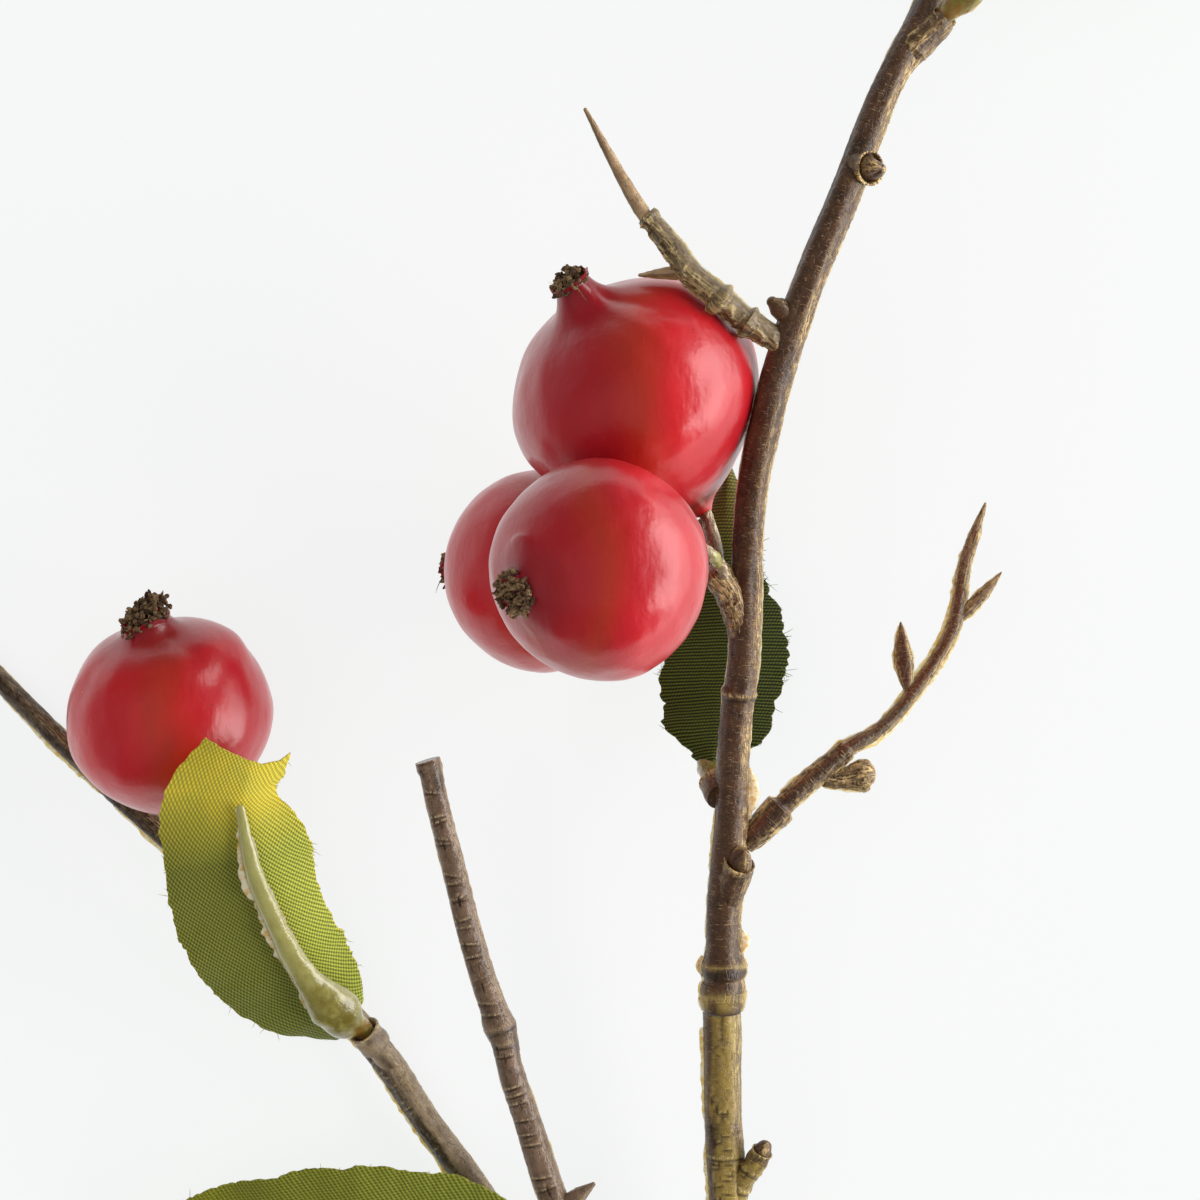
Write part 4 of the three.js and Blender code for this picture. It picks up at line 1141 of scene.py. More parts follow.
def sprigs(roots, ways, bends, lengths, radii, rings, around, seed, uneven=0.0, taper=0.5):
    """A short bent grain or thread from each root.

    Its middle at share t is root + length (t way + t^2 bend), and its radius is the given one times
    (1 - taper t) and the root of a half wave that rounds both ends.
    """
    random = np.random.default_rng(seed)
    count = len(roots)
    t = np.linspace(0, 1, rings)
    ways = unit(ways)
    other = unit(np.cross(ways, random.normal(size=(count, 3))))
    third = np.cross(ways, other)
    path = t[:, None] * ways[:, None] + t[:, None] ** 2 * bends[:, None]
    middles = roots[:, None] + lengths[:, None, None] * path
    swell = (1 - taper * t) * np.sqrt(np.sin(np.pi * (0.08 + 0.84 * t)))
    angle = np.arange(around) * 2 * np.pi / around
    lumps = 1 + uneven * random.uniform(-1, 1, (count, rings, around))
    reach = radii[:, None, None] * swell[:, None] * lumps
    corners = (
        middles[:, :, None]
        + (reach * np.cos(angle))[..., None] * other[:, None, None]
        + (reach * np.sin(angle))[..., None] * third[:, None, None]
    )
    shades = random.random(count)
    across, along = np.meshgrid(np.linspace(0, 1, around + 1), t)
    uv = np.stack([across, along], -1)
    full = np.ones((rings, around))
    return [
        SimpleNamespace(
            corners=corner, uv=uv * [1, length], marks={"shade": shade * full}, paint=0, flat_ends=False)
        for corner, length, shade in zip(corners, lengths, shades)
    ]


def tuft(centre, axis, reach, tall, count, curls, seed, lean=(0, 0, 0), slope=0.0):
    """Crumbs heaped on a neck's end in a low dome, thickest in a ring round a hollow middle. slope
    raises the heap on its right-hand side and lowers it on the left, and lean tips it over."""
    random = np.random.default_rng(seed)
    axis = unit(axis)
    top = unit(np.array([0, 0, 1.0]) - axis * axis[2])
    side = np.cross(axis, top)
    share, angle = random.beta(2.6, 1.1, count), random.uniform(0, 2 * np.pi, count)
    flat = reach * ((share * np.cos(angle))[:, None] * top + (share * np.sin(angle))[:, None] * side)
    dome = np.sin(np.pi * np.clip(share * 0.72 + 0.15, 0, 1))
    lift = tall * dome * random.uniform(-0.1, 1, count)
    lifted = lift[:, None] * (axis + np.array(lean)) + slope * (flat @ side)[:, None] * axis
    roots = np.array(centre) + flat + lifted
    ways = axis * 0.4 + flat / reach * 0.5 + random.normal(0, 0.8, (count, 3))
    bends = random.normal(0, 0.5, (count, 3))
    grains = sprigs(roots, ways, bends, random.uniform(0.3, 0.65, count), random.uniform(0.2, 0.4, count),
                    rings=6, around=7, seed=seed + 1, uneven=0.32, taper=0.1)
    edge = np.flatnonzero(share > 0.75)[:curls]
    twisted = random.normal(0, 1.1, (len(edge), 3)) - ways[edge] * 0.5
    hooks = sprigs(roots[edge], ways[edge], twisted, random.uniform(0.8, 1.5, len(edge)),
                   random.uniform(0.09, 0.15, len(edge)), rings=8, around=5, seed=seed + 2, uneven=0.2)
    return grains + hooks


print("one crumb has", len(skin_faces(6, 7, flat_ends=False)[1]), "faces")

# %% [markdown]
# ## The four tufts
# The crumbs are dull brown, each a little paler or darker than the next. A plain brown would read as one
# lump, so every crumb has its own shade, and a fine noise lays dark spots over them, painted shade like that
# in the hollows between them.

# %% Calyx tufts
crumb, shader = new_material("calyx_crumb", Roughness=0.8, Specular_IOR_Level=0.3)
colour = blend(crumb, mark_of(crumb, "shade"), paint(70, 48, 33), paint(150, 122, 88))
# painted shade: dark spots from a fine noise, as in the hollows between crumbs
colour = blend(crumb, between(crumb, grain(crumb, 0.3), 0.48, 0.7), colour, paint(44, 28, 20))
link(crumb, colour, shader, "Base Color")
bump(crumb, shader, grain(crumb, 0.2, detail=4.0), 0.06, 0.7)

TUFTS = {
    "top": dict(reach=2.45, tall=1.5, count=170, seed=91, curls=7, lean=(-0.3, 0, 0), slope=0.1),
    "front": dict(reach=2.65, tall=1.3, count=230, seed=92, curls=4),
    "back": dict(reach=2.3, tall=1.2, count=130, seed=93, curls=5),
    "left": dict(reach=3.3, tall=2.6, count=360, seed=94, curls=5, slope=0.42),
}
for name, shape in TUFTS.items():
    fruit = FRUITS[name]
    end = np.array(fruit["centre"]) + unit(fruit["axis"]) * (fruit["crown"] + fruit["neck"] - 0.1)
    make_piece(f"{name}_calyx_tuft", tuft(end, fruit["axis"], **shape), [crumb], [f"{name}_calyx"])

# %% [markdown]
# ## Stalks
# Each stalk is a thin silvery-brown stick with lengthwise streaks, from the twig into the fruit. A
# plain rod would do at this size, but a bark skin with deeper flutes gives the streaks for nothing.

# %% Stalks
STALKS = {
    "top": [(20, 17, 25, 0.8), (19.5, 20.5, 22, 0.9), (18.3, 24.2, 19.3, 0.8), (17, 26.4, 20, 0.8)],
    "front": [(21, 15.6, 25, 0.8), (19.8, 17.8, 30, 0.6), (16.6, 19.6, 35.4, 0.7), (13.4, 19.1, 38, 0.8)],
    "back": [(20.8, 15.6, 23.8, 0.8), (15, 15.9, 21.8, 0.8), (10, 16.1, 19.6, 0.8), (7.6, 16.2, 18.3, 0.8)],
    "left": [(-46.5, -21.9, 2.9, 0.9), (-46, -18.8, 6, 0.8), (-46.8, -14.6, 8, 0.8), (-47.4, -12.4, 9, 0.8)],
}
silver_stalk = bark_material(
    "silvery_stalk", paint(140, 118, 84), paint(110, 86, 58), paint(66, 46, 32), paint(222, 208, 178),
    paint(150, 130, 100), 0.3)
for seed, (name, route) in enumerate(STALKS.items(), 101):
    skin = bark_skin(route, seed, around=32, step=0.15, up=(0, 1, 0), flutes=0.25, side=0, spread=0.5,
                     wear=0.9)
    make_piece(f"{name}_stalk_skin", [skin], [silver_stalk], [f"{name}_stalk"])

# %% [markdown]
# ## Leaves
# A leaf is cut from a ribbed polyester weave, printed green at the base and yellow at the tip. It is
# modelled as cloth: one thin sheet, bent along its middle and lowered or lifted at its edges. Both
# sides and the rim are one closed skin. The cut edge is uneven by about a thread, and the left
# leaf's tip is cut off in a hollow curve. A station is x, y, z, the leaf's width to the left and to
# the right, and the half width of its rib, all in millimetres.

# %% Leaf shapes
LEAVES = {
    "left": dict(facing=(0.15, -0.45, 0.88), lift=-2.0, seed=111, cup=LEFT_LEAF_CUP, notch=(0.86, 1.5),
                 cut=([-1, -0.4, 0.3, 0.75, 1], [0.4, -0.6, -1.5, -1.1, -0.1]),
                 heel=([-1, -0.4, 0.1, 1], [2.6, 1.8, 0.5, 0]), stations=[
        (-26.9, -40.9, 7.4, 4.5, 2.5, 1.7), (-29.3, -38.3, 9.2, 8.7, 5, 2.2),
        (-32.9, -33.5, 13, 11.5, 6.4, 1.6), (-35.8, -27.5, 17.7, 12.5, 6.4, 1.3),
        (-38.5, -19.7, 22.9, 11, 7.8, 1.05), (-39.6, -12.7, 26.2, 9.4, 6.4, 0.5),
        (-38.2, -5.9, 28.2, 5.5, 5.6, 0)]),
    "rear": dict(facing=(0.1, -0.2, -0.98), lift=1.2, seed=112, cup=REAR_LEAF_CUP, ragged=1.7, stations=[
        (19.7, -7.6, 12.6, 1.6, 1.4, 1.5), (19.9, -4.6, 11.2, 5.6, 5.2, 1.6), (20.3, 0.4, 9.2, 7.4, 7.2, 1.3),
        (20.7, 5.6, 7.6, 8.8, 7.8, 1.1), (21, 11.6, 6, 7.2, 7, 0.9), (21.3, 18, 4.6, 5, 5, 0.7),
        (21.6, 24.4, 3.4, 3, 3, 0.4), (21.9, 30.2, 2.4, 0.5, 0.5, 0)]),
    "bottom": dict(facing=(0, 0.45, -0.89), lift=1.4, seed=113, cup=BOTTOM_LEAF_CUP, stations=[
        (-4.4, -70.9, 9.8, 2.2, 2.2, 1.5), (-6.6, -70.3, 10.1, 5.4, 5.4, 1.8),
        (-12, -69.3, 10.4, 8, 8, 1.6), (-20, -68.9, 10.6, 9.6, 9.6, 1.3),
        (-29, -68.9, 10.3, 9.8, 9.8, 1.1), (-38, -69.2, 9.2, 8.4, 8.4, 0.8),
        (-46, -69.8, 7.6, 6, 6, 0.5), (-54, -71, 5.6, 0.5, 0.5, 0)]),
    "top": dict(facing=(0.3, -0.35, -0.88), lift=1.4, seed=114, cup=TOP_LEAF_CUP, stations=[
        (50.8, 88.8, 28.4, 1.6, 1.6, 1.5), (52.6, 91.6, 28.8, 4, 3.6, 1.9), (56.2, 96.4, 28.2, 8, 7.8, 1.5),
        (61.6, 101.8, 25.6, 10, 10, 1.2), (68, 106, 21, 10, 10, 1), (74, 108.6, 15.4, 8, 8, 0.8),
        (79, 110.2, 9.6, 5, 5, 0.5), (82.6, 111, 3.8, 0.5, 0.5, 0)]),
}
for name, leaf in LEAVES.items():
    print(f"{name} leaf: {max(station[3] + station[4] for station in leaf['stations']):.1f} mm at its widest")

# %% [markdown]
# ## The leaves' sheets
# The sheet is worked out once, as a grid of corners. The cloth's skin, its area, its flat size and
# the threads along its edges all come from that one grid, so they always agree.

# %% Leaf surfaces
CLOTH = 0.3  # the cloth's thickness
RING_STEP = 0.35
THREADS = 56  # corners across one side of the cloth
STRAIGHT = ([-1, 1], [0, 0])


def leaf_sheet(facing, lift, seed, stations, cut=STRAIGHT, heel=STRAIGHT, notch=(0.5, 0), ragged=1.0):
    """A leaf's middle sheet as a grid: rings along it and THREADS corners across it.

    Corner (i, u), u from -1 to 1, is middle_i + u width_i side_i + (lift u^2 + soft waves) up_i, and
    near the tip and the heel it also moves along by the cut's or the heel's own curve of u. The left
    and right widths differ, and each is uneven by a lattice noise of about a thread. notch is the
    place, as a share of the length, and the depth of a dip in the right edge.
    """
    line = smooth_line(stations, RING_STEP, facing)
    u = np.linspace(-1, 1, THREADS)[None]
    left, right = (np.clip(line.extra[:, k], 0.3, None)[:, None] for k in (0, 1))
    along = line.along[:, None]
    both_edges = np.array([[0.1, 0.6]])
    coarse = lattice_noise(along / 2.6, both_edges, 7, seed + 2) - 0.5
    fine = lattice_noise(along / 0.5, both_edges, 7, seed) - 0.5
    frayed = ragged * (0.45 * fine + 0.6 * coarse)
    left, right = left + frayed[:, :1] * (left > 1), right + frayed[:, 1:] * (right > 1)
    right = right - notch[1] * np.exp(-(((along / along[-1] - notch[0]) / 0.07) ** 2))
    reach = u * np.where(u < 0, left, right)
    sheet = line.middle[:, None] + reach[..., None] * line.side[:, None]
    near_tip = np.clip((along / along[-1] - 0.8) / 0.2, 0, 1)
    torn = lattice_noise(u * 9, 0.5, 3, seed + 3) - 0.5
    slide = np.interp(u, *cut) * near_tip + 0.25 * near_tip**6 * torn
    slide = slide - np.interp(u, *heel) * np.clip(1 - along / along[-1] / 0.15, 0, 1)
    sheet = sheet + slide[..., None] * line.ahead[:, None]
    waves = 0.35 * soft_lumps(sheet, 11, seed + 1) * np.abs(u) ** 0.7
    out = np.broadcast_to(line.top[:, None], sheet.shape)
    sheet = sheet + (lift * u**2 + waves)[..., None] * out
    return SimpleNamespace(line=line, grid=sheet, out=out, reach=reach, u=u + 0 * along)


def sheet_skin(sheet):
    """Both faces of a sheet half its thickness apart, as one closed ring after another."""
    half = CLOTH / 2 * sheet.out
    corners = np.concatenate([sheet.grid + half, (sheet.grid - half)[:, ::-1]], axis=1)
    reach = np.concatenate([sheet.reach, sheet.reach[:, ::-1], sheet.reach[:, :1]], axis=1)
    along = np.broadcast_to(sheet.line.along[:, None], reach.shape)
    share = sheet.line.along / sheet.line.along[-1]
    u = np.concatenate([sheet.u, sheet.u[:, ::-1]], axis=1)
    marks = {"tip": share[:, None] + 0 * u, "edge": np.abs(u), "right": np.clip(u * 4 + 0.5, 0, 1)}
    uv = np.stack([reach, along], -1)
    return SimpleNamespace(corners=corners, uv=uv, marks=marks, paint=0, flat_ends=True)


def cut_area(sheet):
    """The area of the sheet in square millimetres: half the sum of the cross products of each
    small face's two diagonals."""
    g = sheet.grid
    first, second = g[1:, 1:] - g[:-1, :-1], g[1:, :-1] - g[:-1, 1:]
    return float(np.linalg.norm(np.cross(first, second), axis=-1).sum() / 2)


SHEETS = {}
for name, leaf in LEAVES.items():
    SHEETS[name] = leaf_sheet(**{key: value for key, value in leaf.items() if key != "cup"})
    print(f"{name} leaf: {cut_area(SHEETS[name]):.0f} square mm of cloth")

# %% [markdown]
# ## The weave
# The cloth's ribs lie about half a millimetre apart, and each is crossed by finer threads. An image of cloth
# would do, but two sine waves over the leaf's own flattened map do the same at any size: one wave for the
# ribs, and one for the threads that shifts by half a step from rib to rib. Their height drives both the bump
# and the colour: the colour is darkened between the ribs as painted shade and paled on top of them as a
# painted highlight. A little light passes through between the ribs.

# %% Leaf cloth material


THREAD_PITCH = 0.4


def leaf_cloth(name, base, middle, tip, slant, pitch=0.47, crossing=0.4, ground=0.55, shine=1.3, left=1.0):
    """Woven cloth. slant turns the ribs on the leaf, in degrees, pitch is how far apart they lie, and
    crossing is the threads' share of the height. ground and shine are the brightness between and on top of
    the ribs: painted shade in the grooves and a painted highlight on the rib tops. left is the brightness of
    the leaf's left half, painted shade on the side away from the lamps, with less of it near the tip.

    height = (1 - crossing) (1 + sin(2 pi y / pitch)) / 2 + crossing (1 + sin(2 pi x / THREAD_PITCH +
    pi y / pitch)) / 2
    """
    material, shader = new_material(
        name, Roughness=0.6, Specular_IOR_Level=0.2, Sheen_Weight=0.05, Sheen_Roughness=0.4,
        Subsurface_Weight=0.2, Subsurface_Scale=0.0005)
    shader.inputs["Subsurface Radius"].default_value = (0.9, 1.0, 0.2)
    uv = add(material, "UVMap", "UV", uv_map="skin")
    slow = {"Vector": uv, "Scale": 0.25, "Detail": 2.0}
    wander = add(material, "TexNoise", "Color", slow, noise_dimensions="2D")
    bent = add(material, "MixRGB", "Color", {"Fac": 0.25, "Color1": uv, "Color2": wander}, blend_type="ADD")
    turned = add(material, "Mapping", 0, {"Vector": bent, "Rotation": (0, 0, math.radians(slant))})
    split = {"Vector": turned}
    along = times(material, add(material, "SeparateXYZ", "Y", split), 2 * math.pi / pitch)
    across = times(material, add(material, "SeparateXYZ", "X", split), 2 * math.pi / THREAD_PITCH)
    rib = plus(material, times(material, math_of(material, "SINE", along), 0.5), 0.5)
    half = times(material, along, 0.5)
    thread = math_of(material, "SINE", plus(material, across, half))
    thread = plus(material, times(material, thread, 0.5), 0.5)
    height = plus(material, times(material, rib, 1 - crossing), times(material, thread, crossing))
    share = mark_of(material, "tip")
    colour = blend(material, between(material, share, 0.1, 0.5), base, middle)
    colour = blend(material, between(material, share, 0.66, 0.86), colour, tip)
    mottle = between(material, grain(material, 2.5, detail=3.0), 0.35, 0.7)
    colour = blend(material, times(material, mottle, 0.4), colour, middle)
    rim = times(material, between(material, mark_of(material, "edge"), 0.95, 1.0), 0.35)
    colour = blend(material, rim, colour, tip)
    # painted shade: the leaf's left half, turned away from the lamps, is darker, less so near the tip
    shaded_left_half = add(material, "HueSaturation", "Color", {"Color": colour, "Value": left})
    at_tip = times(material, between(material, share, 0.66, 0.86), 0.75)
    lit = math_of(material, "MAXIMUM", mark_of(material, "right"), at_tip)
    colour = blend(material, lit, shaded_left_half, colour)
    # painted shade between the ribs, less of it near the tip, and a painted highlight on the rib tops: darker
    # and paler copies of the same colour
    groove_shade = plus(material, times(material, at_tip, 0.85 - ground), ground)
    dark = add(material, "HueSaturation", "Color", {"Color": colour, "Value": groove_shade})
    pale = add(material, "HueSaturation", "Color", {"Color": colour, "Value": shine})
    woven = blend(material, between(material, height, 0.2, 0.55), dark, colour)
    woven = blend(material, between(material, height, 0.6, 0.9), woven, pale)
    link(material, woven, shader, "Base Color")
    bump(material, shader, height, 0.12, 0.8)
    return material


# left darkens a leaf's left half as painted shade, on the side away from the lamps
CLOTHS = {
    "left": leaf_cloth("olive_to_yellow_cloth", paint(166, 176, 70), paint(174, 180, 72),
                       paint(218, 200, 66), 58, ground=0.42, shine=1.45, left=0.48),
    "rear": leaf_cloth("dark_green_cloth", paint(62, 70, 22), paint(58, 68, 22), paint(96, 88, 34), 4,
                       pitch=0.43, crossing=0.25, ground=0.2, shine=2.2),
    "bottom": leaf_cloth("green_cloth", paint(120, 128, 44), paint(126, 132, 44), paint(140, 140, 40), 32),
    "top": leaf_cloth("light_green_cloth", paint(130, 140, 64), paint(124, 134, 54), paint(180, 176, 60), 32),
}
print("leaf cloths:", len(CLOTHS))

# %% [markdown]
# ## Frayed threads
# Cut polyester frays: short ends of thread stand out in small bunches along the edge, and a few long
# ones hang loose. They are the same sprigs as the crumbs, only thin, and go with their leaf as its
# fringe.

# %% Leaves and their frayed threads
THREAD_HALF = 0.05  # half of a thread's thickness


def frayed_threads(sheet, count, seed, longest):
    """Thread ends along both edges, bunched where a noise is high. Most are short, since the length
    grows with the fourth power of a random share."""
    random = np.random.default_rng(seed)
    rows = np.arange(2, len(sheet.grid) - 2)
    bunched = np.clip(lattice_noise(rows / 5, 0.3, 5, seed) - 0.45, 0.02, None)
    row = random.choice(rows, count, p=bunched / bunched.sum())
    edge = random.choice([0, THREADS - 1], count)
    sideways = np.where(edge == 0, -1, 1)[:, None] * sheet.line.side[row]
    roots = sheet.grid[row, edge] - sideways * 0.2
    swept = sheet.line.ahead[row] * random.normal(-0.3, 0.5, (count, 1))
    ways = sideways + swept + random.normal(0, 0.25, (count, 3))
    bends = random.normal(0, 0.6, (count, 3)) - 0.3 * sideways
    lengths = 0.25 + longest * random.random(count) ** 4
    thin = np.full(count, THREAD_HALF)
    return sprigs(roots, ways, bends, lengths, thin, rings=5, around=4, seed=seed + 1, taper=0.3)


FRINGES = {  # each is (how many threads, the longest, the dull colour, the light one)
    "left": (160, 0.8, paint(130, 126, 44), paint(200, 190, 80)),
    "rear": (420, 0.9, paint(64, 80, 28), paint(110, 130, 52)),
    "bottom": (150, 0.6, paint(96, 100, 36), paint(150, 152, 60)),
    "top": (150, 0.6, paint(110, 116, 50), paint(160, 160, 80)),
}
for name, leaf in LEAVES.items():
    count, longest, dull, light = FRINGES[name]
    thread, shader = new_material(f"{name}_leaf_thread", Roughness=0.6)
    link(thread, blend(thread, mark_of(thread, "shade"), dull, light), shader, "Base Color")
    sheet = SHEETS[name]
    cloth = make_piece(
        f"{name}_leaf_cloth", [sheet_skin(sheet)], [CLOTHS[name]], [f"{name}_leaf"])
    threads = frayed_threads(sheet, count, leaf["seed"] + 5, longest)
    fringe = make_piece(f"{name}_leaf_fringe", threads, [thread])

# %% [markdown]
# ## Ribs
# The rib is moulded in clear yellow-green plastic. It stands in the twig's cup, swells, and thins
# out along the leaf's middle. Light goes into it and colours it from inside. Where the mould halves
# met, a ragged pale flash stands out at its left edge, and its foot is stained amber.

# %% Rib shapes
RIB_FLATTEN = 0.5
RIB_CLEARANCE = 0.7


def rib_route(facing, cup, stations):
    """The rib's stations: two in the cup, then one above each of the leaf's stations, at a small
    clearance plus the rib's own half thickness."""
    at, way = np.array(cup[0]), unit(cup[1])
    stations = np.array(stations, float)
    ahead = unit(np.gradient(stations[:, :3], axis=0))
    facing = np.array(facing, float)
    out = unit(facing - (ahead @ facing)[:, None] * ahead)
    rise = RIB_CLEARANCE + stations[:, 5] * RIB_FLATTEN
    lying = np.column_stack([stations[:, :3] + out * rise[:, None], stations[:, 5]])
    standing = [(*(at - 1.2 * way), 1.0), (*(at + 1.0 * way), 1.2)]
    return np.concatenate([standing, lying[stations[:, 5] > 0]])


def fin_skin(line, side, widest, seed, first, last, bare, paint=0):
    """A paper-thin fin beside a line. Its width wanders between almost nothing and `widest`: the sum
    of a slow and a quick noise, less `bare`. first and last are shares of the line's length, and
    side is -1 for its left and 1 for its right."""
    share = line.along / line.along[-1]
    keep = (share >= first) & (share <= last)
    slow = lattice_noise(line.along / 4.5, 0.4, 5, seed)
    quick = lattice_noise(line.along / 0.8, 0.4, 5, seed + 1)
    width = widest * np.clip(0.75 * slow + 0.5 * quick - bare, 0.06, None)[keep]
    fin = SimpleNamespace(**{key: value[keep] for key, value in vars(line).items()})
    offset = side * (fin.extra[:, 0] * 0.97 + width * 0.5 - 0.1)
    fin.middle = fin.middle + offset[:, None] * fin.side
    return skin_round(fin, np.tile(width[:, None] + 0.08, 8), (1, 1), 0.14, paint=paint)


def rib_skins(leaf, seed):
    """The rib itself, a flattened stick with a few dents, and the flash along both of its edges."""
    line = smooth_line(rib_route(leaf["facing"], leaf["cup"], leaf["stations"]), 0.25, leaf["facing"])
    turns = turns_round(40)
    along = line.along[:, None]
    base = np.clip(line.extra[:, :1], 0.12, None)
    line.extra = base
    share = along / along[-1]
    noise = lattice_noise(along / 2.2, turns, 5, seed) - 0.5
    dents = lattice_noise(along / 0.9, turns, 9, seed + 1) - 0.5
    swell = 1 + 0.5 * np.exp(-(((share - 0.17) / 0.1) ** 2))
    radius = base * swell * (1 + 0.14 * noise) + 0.2 * dents * np.clip(1.3 - share * 2, 0.15, 1)
    marks = {
        "foot": np.clip(1.15 - share * 9, 0, 1) + 0 * turns,
        "far": share + 0 * turns,
        "bulb": np.clip(1.6 - share * 4, 0, 1) + 0 * turns,
        "edge": np.abs(np.sin(turns * 2 * np.pi)) ** 4 + 0 * along,
    }
    body = skin_round(line, radius, (0, 1), RIB_FLATTEN + 0.1, marks)
    left_flash = fin_skin(line, -1, 0.75, seed + 2, 0.1, 1.0, 0.15, paint=1)
    right_flash = fin_skin(line, 1, 0.3, seed + 3, 0.1, 0.9, 0.3, paint=1)
    return [body, left_flash, right_flash]


print("a rib starts", RIB_CLEARANCE, "mm off the middle of its leaf's cloth")

# %% [markdown]
# ## The ribs' finishes
# The clear plastic is cloudy inside, smoky where it is thick, and paler along its edges. Real
# see-through plastic would need many more rays, and a glossy coat over a little scattered light
# looks the same on so thin a stick.

# %% Rib finishes
clear, shader = new_material(
    "clear_green_plastic", Roughness=0.2, Specular_IOR_Level=0.5, Subsurface_Weight=0.5,
    Subsurface_Scale=0.0015, Coat_Weight=0.8, Coat_Roughness=0.07)
shader.inputs["Subsurface Radius"].default_value = (1.0, 0.9, 0.3)
cloudy = between(clear, grain(clear, 2.2, detail=3.0), 0.35, 0.68)
colour = blend(clear, cloudy, paint(136, 126, 52), paint(168, 164, 98))
colour = blend(clear, between(clear, mark_of(clear, "far"), 0.2, 0.9), colour, paint(166, 164, 102))
smoky = between(clear, grain(clear, 1.6, detail=4.0), 0.34, 0.6)
colour = blend(clear, times(clear, smoky, mark_of(clear, "bulb")), colour, paint(112, 100, 30))
colour = blend(clear, times(clear, mark_of(clear, "edge"), 0.35), colour, paint(200, 200, 160))
stain = times(clear, between(clear, grain(clear, 0.7, detail=3.0), 0.42, 0.56), mark_of(clear, "foot"))
colour = blend(clear, stain, colour, paint(150, 84, 34))
link(clear, colour, shader, "Base Color")
bump(clear, shader, grain(clear, 0.9, detail=4.0), 0.25, 0.5)
flash, shader = new_material("pale_flash", Roughness=0.3, Subsurface_Weight=0.6, Subsurface_Scale=0.0008)
shader.inputs["Subsurface Radius"].default_value = (1.0, 0.9, 0.7)
amber_spots = between(flash, grain(flash, 0.9), 0.42, 0.62)
colour = blend(flash, amber_spots, paint(226, 214, 182), paint(206, 164, 96))
link(flash, colour, shader, "Base Color")

for seed, (name, leaf) in enumerate(LEAVES.items(), 121):
    make_piece(f"{name}_rib_skin", rib_skins(leaf, seed), [clear, flash], [f"{name}_rib"])

# %% [markdown]
# ## Mould flash on the twigs
# Where the two halves of a twig's mould met, a paper-thin fin of clear plastic is left along both
# edges. Light from behind makes it glow amber. It is the same fin as on the ribs. Small flaps of it
# hang in the fork and beside the joint, and a bead of yellow-green glue holds the front fruit's stalk.

# %% Flash fins
amber, shader = new_material("amber_flash", Roughness=0.35, Subsurface_Weight=0.6, Subsurface_Scale=0.0006)
shader.inputs["Subsurface Radius"].default_value = (1.0, 0.75, 0.4)
glowing = between(amber, grain(amber, 0.8), 0.42, 0.6)
colour = blend(amber, glowing, paint(224, 190, 132), paint(244, 234, 204))
colour = blend(amber, between(amber, grain(amber, 0.5), 0.62, 0.72), colour, paint(150, 104, 58))
link(amber, colour, shader, "Base Color")

# Each is (the twig's stations, -1 for its left edge or 1 for its right, the widest, and the first
# and last share of the length).
FINS = [
    (LOWER_STEM, -1, 0.35, 0.05, 0.97), (LOWER_STEM, 1, 0.15, 0.05, 0.97), (MAIN_STEM, -1, 0.3, 0.0, 0.17),
    (MAIN_STEM, 1, 0.35, 0.0, 0.17), (MAIN_STEM, 1, 0.18, 0.17, 0.9), (MAIN_STEM, -1, 0.15, 0.17, 0.9),
    (BUD_TWIG, -1, 0.35, 0.14, 0.88), (BUD_TWIG, 1, 0.35, 0.14, 0.88), (LOWER_BUD, -1, 0.3, 0.1, 0.95),
    (LOWER_BUD, 1, 0.3, 0.1, 0.95), (UPPER_BUD, -1, 0.25, 0.1, 0.95), (UPPER_BUD, 1, 0.3, 0.1, 0.95),
    (THUMB, -1, 0.25, 0.2, 0.9), (THUMB, 1, 0.3, 0.2, 0.9), (LEFT_TWIG, -1, 0.35, 0.2, 0.95),
    (LEFT_TWIG, 1, 0.12, 0.2, 0.95), (PEG_TWIG, -1, 0.12, 0.05, 0.95), (PEG_TWIG, 1, 0.2, 0.05, 0.45),
    (THORN_TWIG, -1, 0.15, 0.1, 0.95), (THORN_TWIG, 1, 0.18, 0.1, 0.95),
]
fins = [
    fin_skin(smooth_line(route, 0.3, crisp=True), side, widest, 131 + n, first, last, bare=0.0)
    for n, (route, side, widest, first, last) in enumerate(FINS)
]
FLAPS = [
    [(23.9, -14.4, 17.3, 0.5), (24.5, -12.4, 17.4, 0.85), (24.7, -10.6, 17.4, 0.7), (24.2, -8.6, 17.4, 0.3)],
    [(23.2, -31.8, 15, 0.3), (23.7, -30.6, 15.1, 0.6), (23.4, -29.3, 15.2, 0.35)],
    [(18.3, -34.8, 14.2, 0.2), (17.9, -33.7, 14.2, 0.4), (18.2, -32.5, 14.3, 0.2)],
]
for n, route in enumerate(FLAPS):
    line = smooth_line(route, 0.15)
    wavy = 1 + 0.5 * (lattice_noise(line.along[:, None] / 0.7, turns_round(20), 5, 170 + n) - 0.5)
    fins.append(skin_round(line, line.extra * wavy, (1, 1), 0.45))
make_piece("twig_mould_flash", fins, [amber])

GLUE = [(20.1, 16.9, 28.4, 0.35), (19.7, 17.9, 30.4, 0.8), (18.9, 18.7, 32.2, 0.6), (18.2, 19.1, 33.4, 0.3)]
line = smooth_line(GLUE, 0.15)
uneven = 1 + 0.4 * (lattice_noise(line.along[:, None] / 0.8, turns_round(24), 5, 180) - 0.5)
make_piece("stalk_glue_bead", [skin_round(line, line.extra * uneven)], [clear])

# %% [markdown]
# ## Surface
# The branch lies on a plain pale surface that glows softly, as on a light table, so it casts no
# shadow and thin edges light up. The glow fades to grey away from the branch, which keeps the
# fruits' lower rims dark.

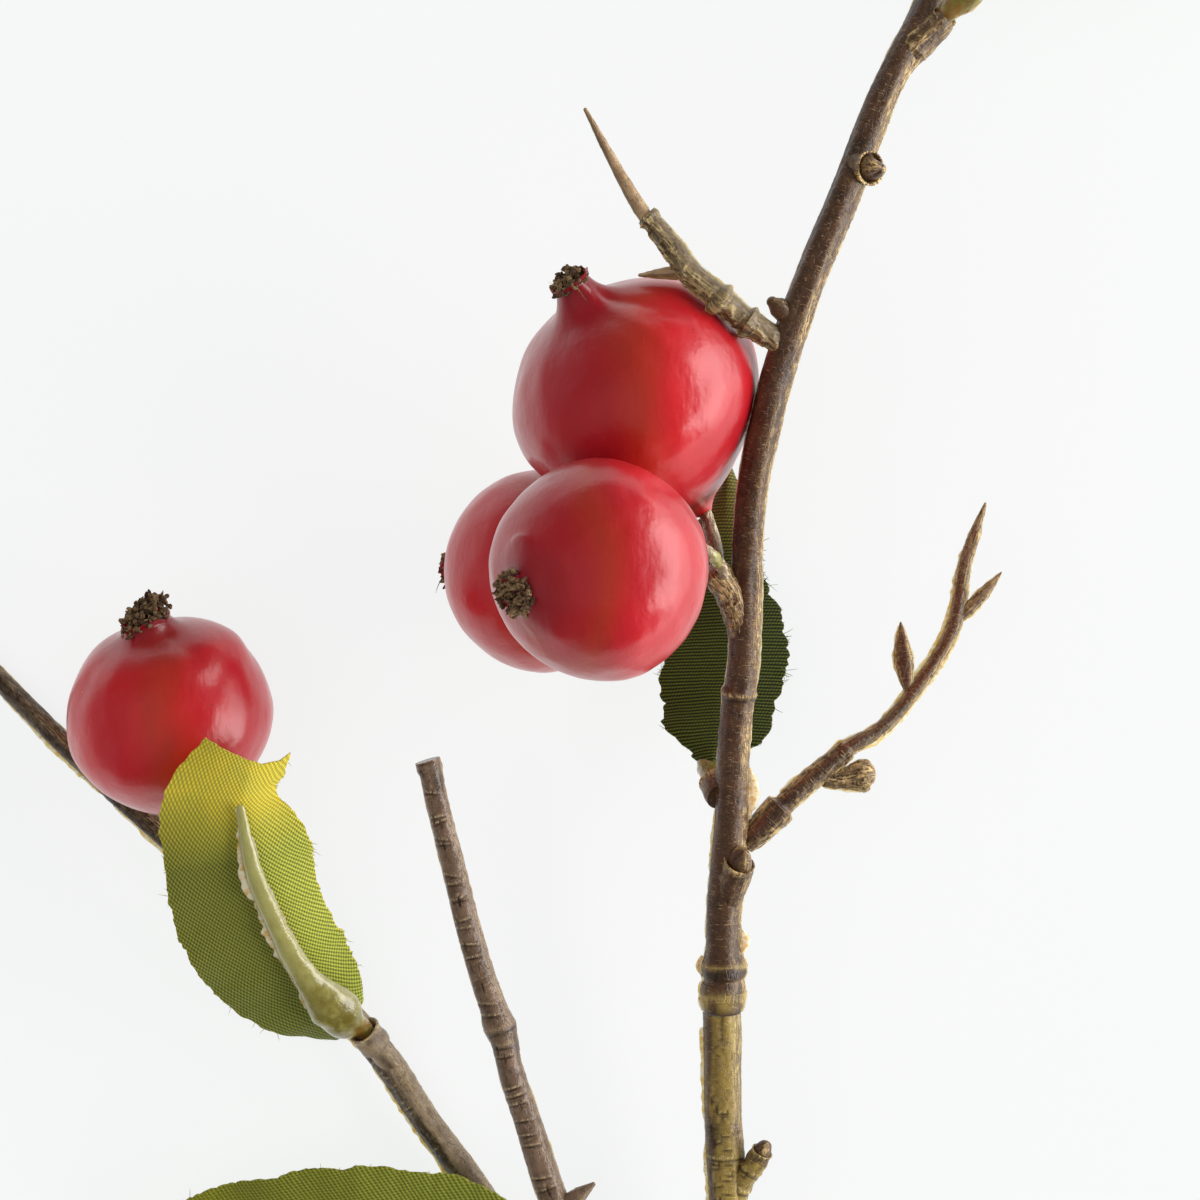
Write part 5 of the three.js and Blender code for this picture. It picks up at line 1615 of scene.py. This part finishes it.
# %% Floor
HALF_FLOOR = 3.0
GLOW_EVEN, GLOW_GONE = 0.185, 0.7  # in metres from the middle, where the glow starts and ends fading
floor_mesh = bpy.data.meshes.new("pale_floor")
floor_mesh.from_pydata(
    [(x * HALF_FLOOR, y * HALF_FLOOR, 0) for x, y in ((-1, -1), (1, -1), (1, 1), (-1, 1))],
    [], [(0, 1, 2, 3)])
floor = bpy.data.objects.new("pale_floor", floor_mesh)
bpy.context.scene.collection.objects.link(floor)
pale, shader = new_material("pale_floor", Roughness=0.9, Emission_Strength=0.83)
shader.inputs["Base Color"].default_value = (0.12, 0.12, 0.12, 1)
away = add(pale, "VectorMath", "Value", {"Vector": add(pale, "TexCoord", "Object")}, operation="LENGTH")
glow = blend(pale, between(pale, away, GLOW_EVEN, GLOW_GONE), (0.98, 1.0, 0.995, 1), (0.4, 0.4, 0.4, 1))
link(pale, glow, shader, "Emission Color")
floor_mesh.materials.append(pale)
print("the floor is", 2 * HALF_FLOOR, "m square")

# %% [markdown]
# ## Light
# A wide soft light stands on the right, with a second one low beside the table, and a dim, cooler
# one stands on the left. Nothing bright hangs above, so a dark strip runs down the middle of every
# fruit. A weak fill light lifts the shaded side. It is kept out of reflections, as a matt board
# beside the camera would be.

# %% Lights and world


def soft_light(name, place, target, size, radiance, colour):
    """An oblong area light that looks from its place at the target. Its power is radiance times pi
    times its area."""
    lamp = bpy.data.lights.new(name, "AREA")
    lamp.shape, lamp.size, lamp.size_y, lamp.color = "RECTANGLE", size[0], size[1], colour
    lamp.energy = radiance * math.pi * size[0] * size[1]
    light = bpy.data.objects.new(name, lamp)
    light.location = place
    light.rotation_euler = (Vector(target) - Vector(place)).to_track_quat("-Z", "Y").to_euler()
    bpy.context.scene.collection.objects.link(light)
    return light


BRANCH = (0, 0.01, 0.02)  # about the branch's middle
soft_light("right_window", (0.95, 0.10, 0.34), BRANCH, (1.60, 0.72), 5.3, (1.0, 0.975, 0.97))
soft_light("right_table", (0.36, 0.02, 0.006), (0.36, 0.02, 1), (0.44, 0.9), 1.9, (1.0, 0.98, 0.98))
soft_light("left_window", (-0.60, 0.04, 0.14), BRANCH, (1.1, 0.24), 0.25, (0.96, 0.92, 1.0))
fill = soft_light("fill", (-0.35, -0.1, 0.75), BRANCH, (0.9, 0.9), 1.3, (1.0, 0.97, 0.94))
fill.visible_glossy = False
world = bpy.data.worlds.new("dim_room")
world.use_nodes = True
background = world.node_tree.nodes["Background"]
background.inputs["Color"].default_value = (1.0, 0.95, 0.88, 1)
background.inputs["Strength"].default_value = 0.16
bpy.context.scene.world = world

# %% [markdown]
# ## The end
# The triangles of all the pieces are added up. The looks may stand only a little proud
# of the CAD box.

# %% Triangles
print("triangles in all:", sum(made))
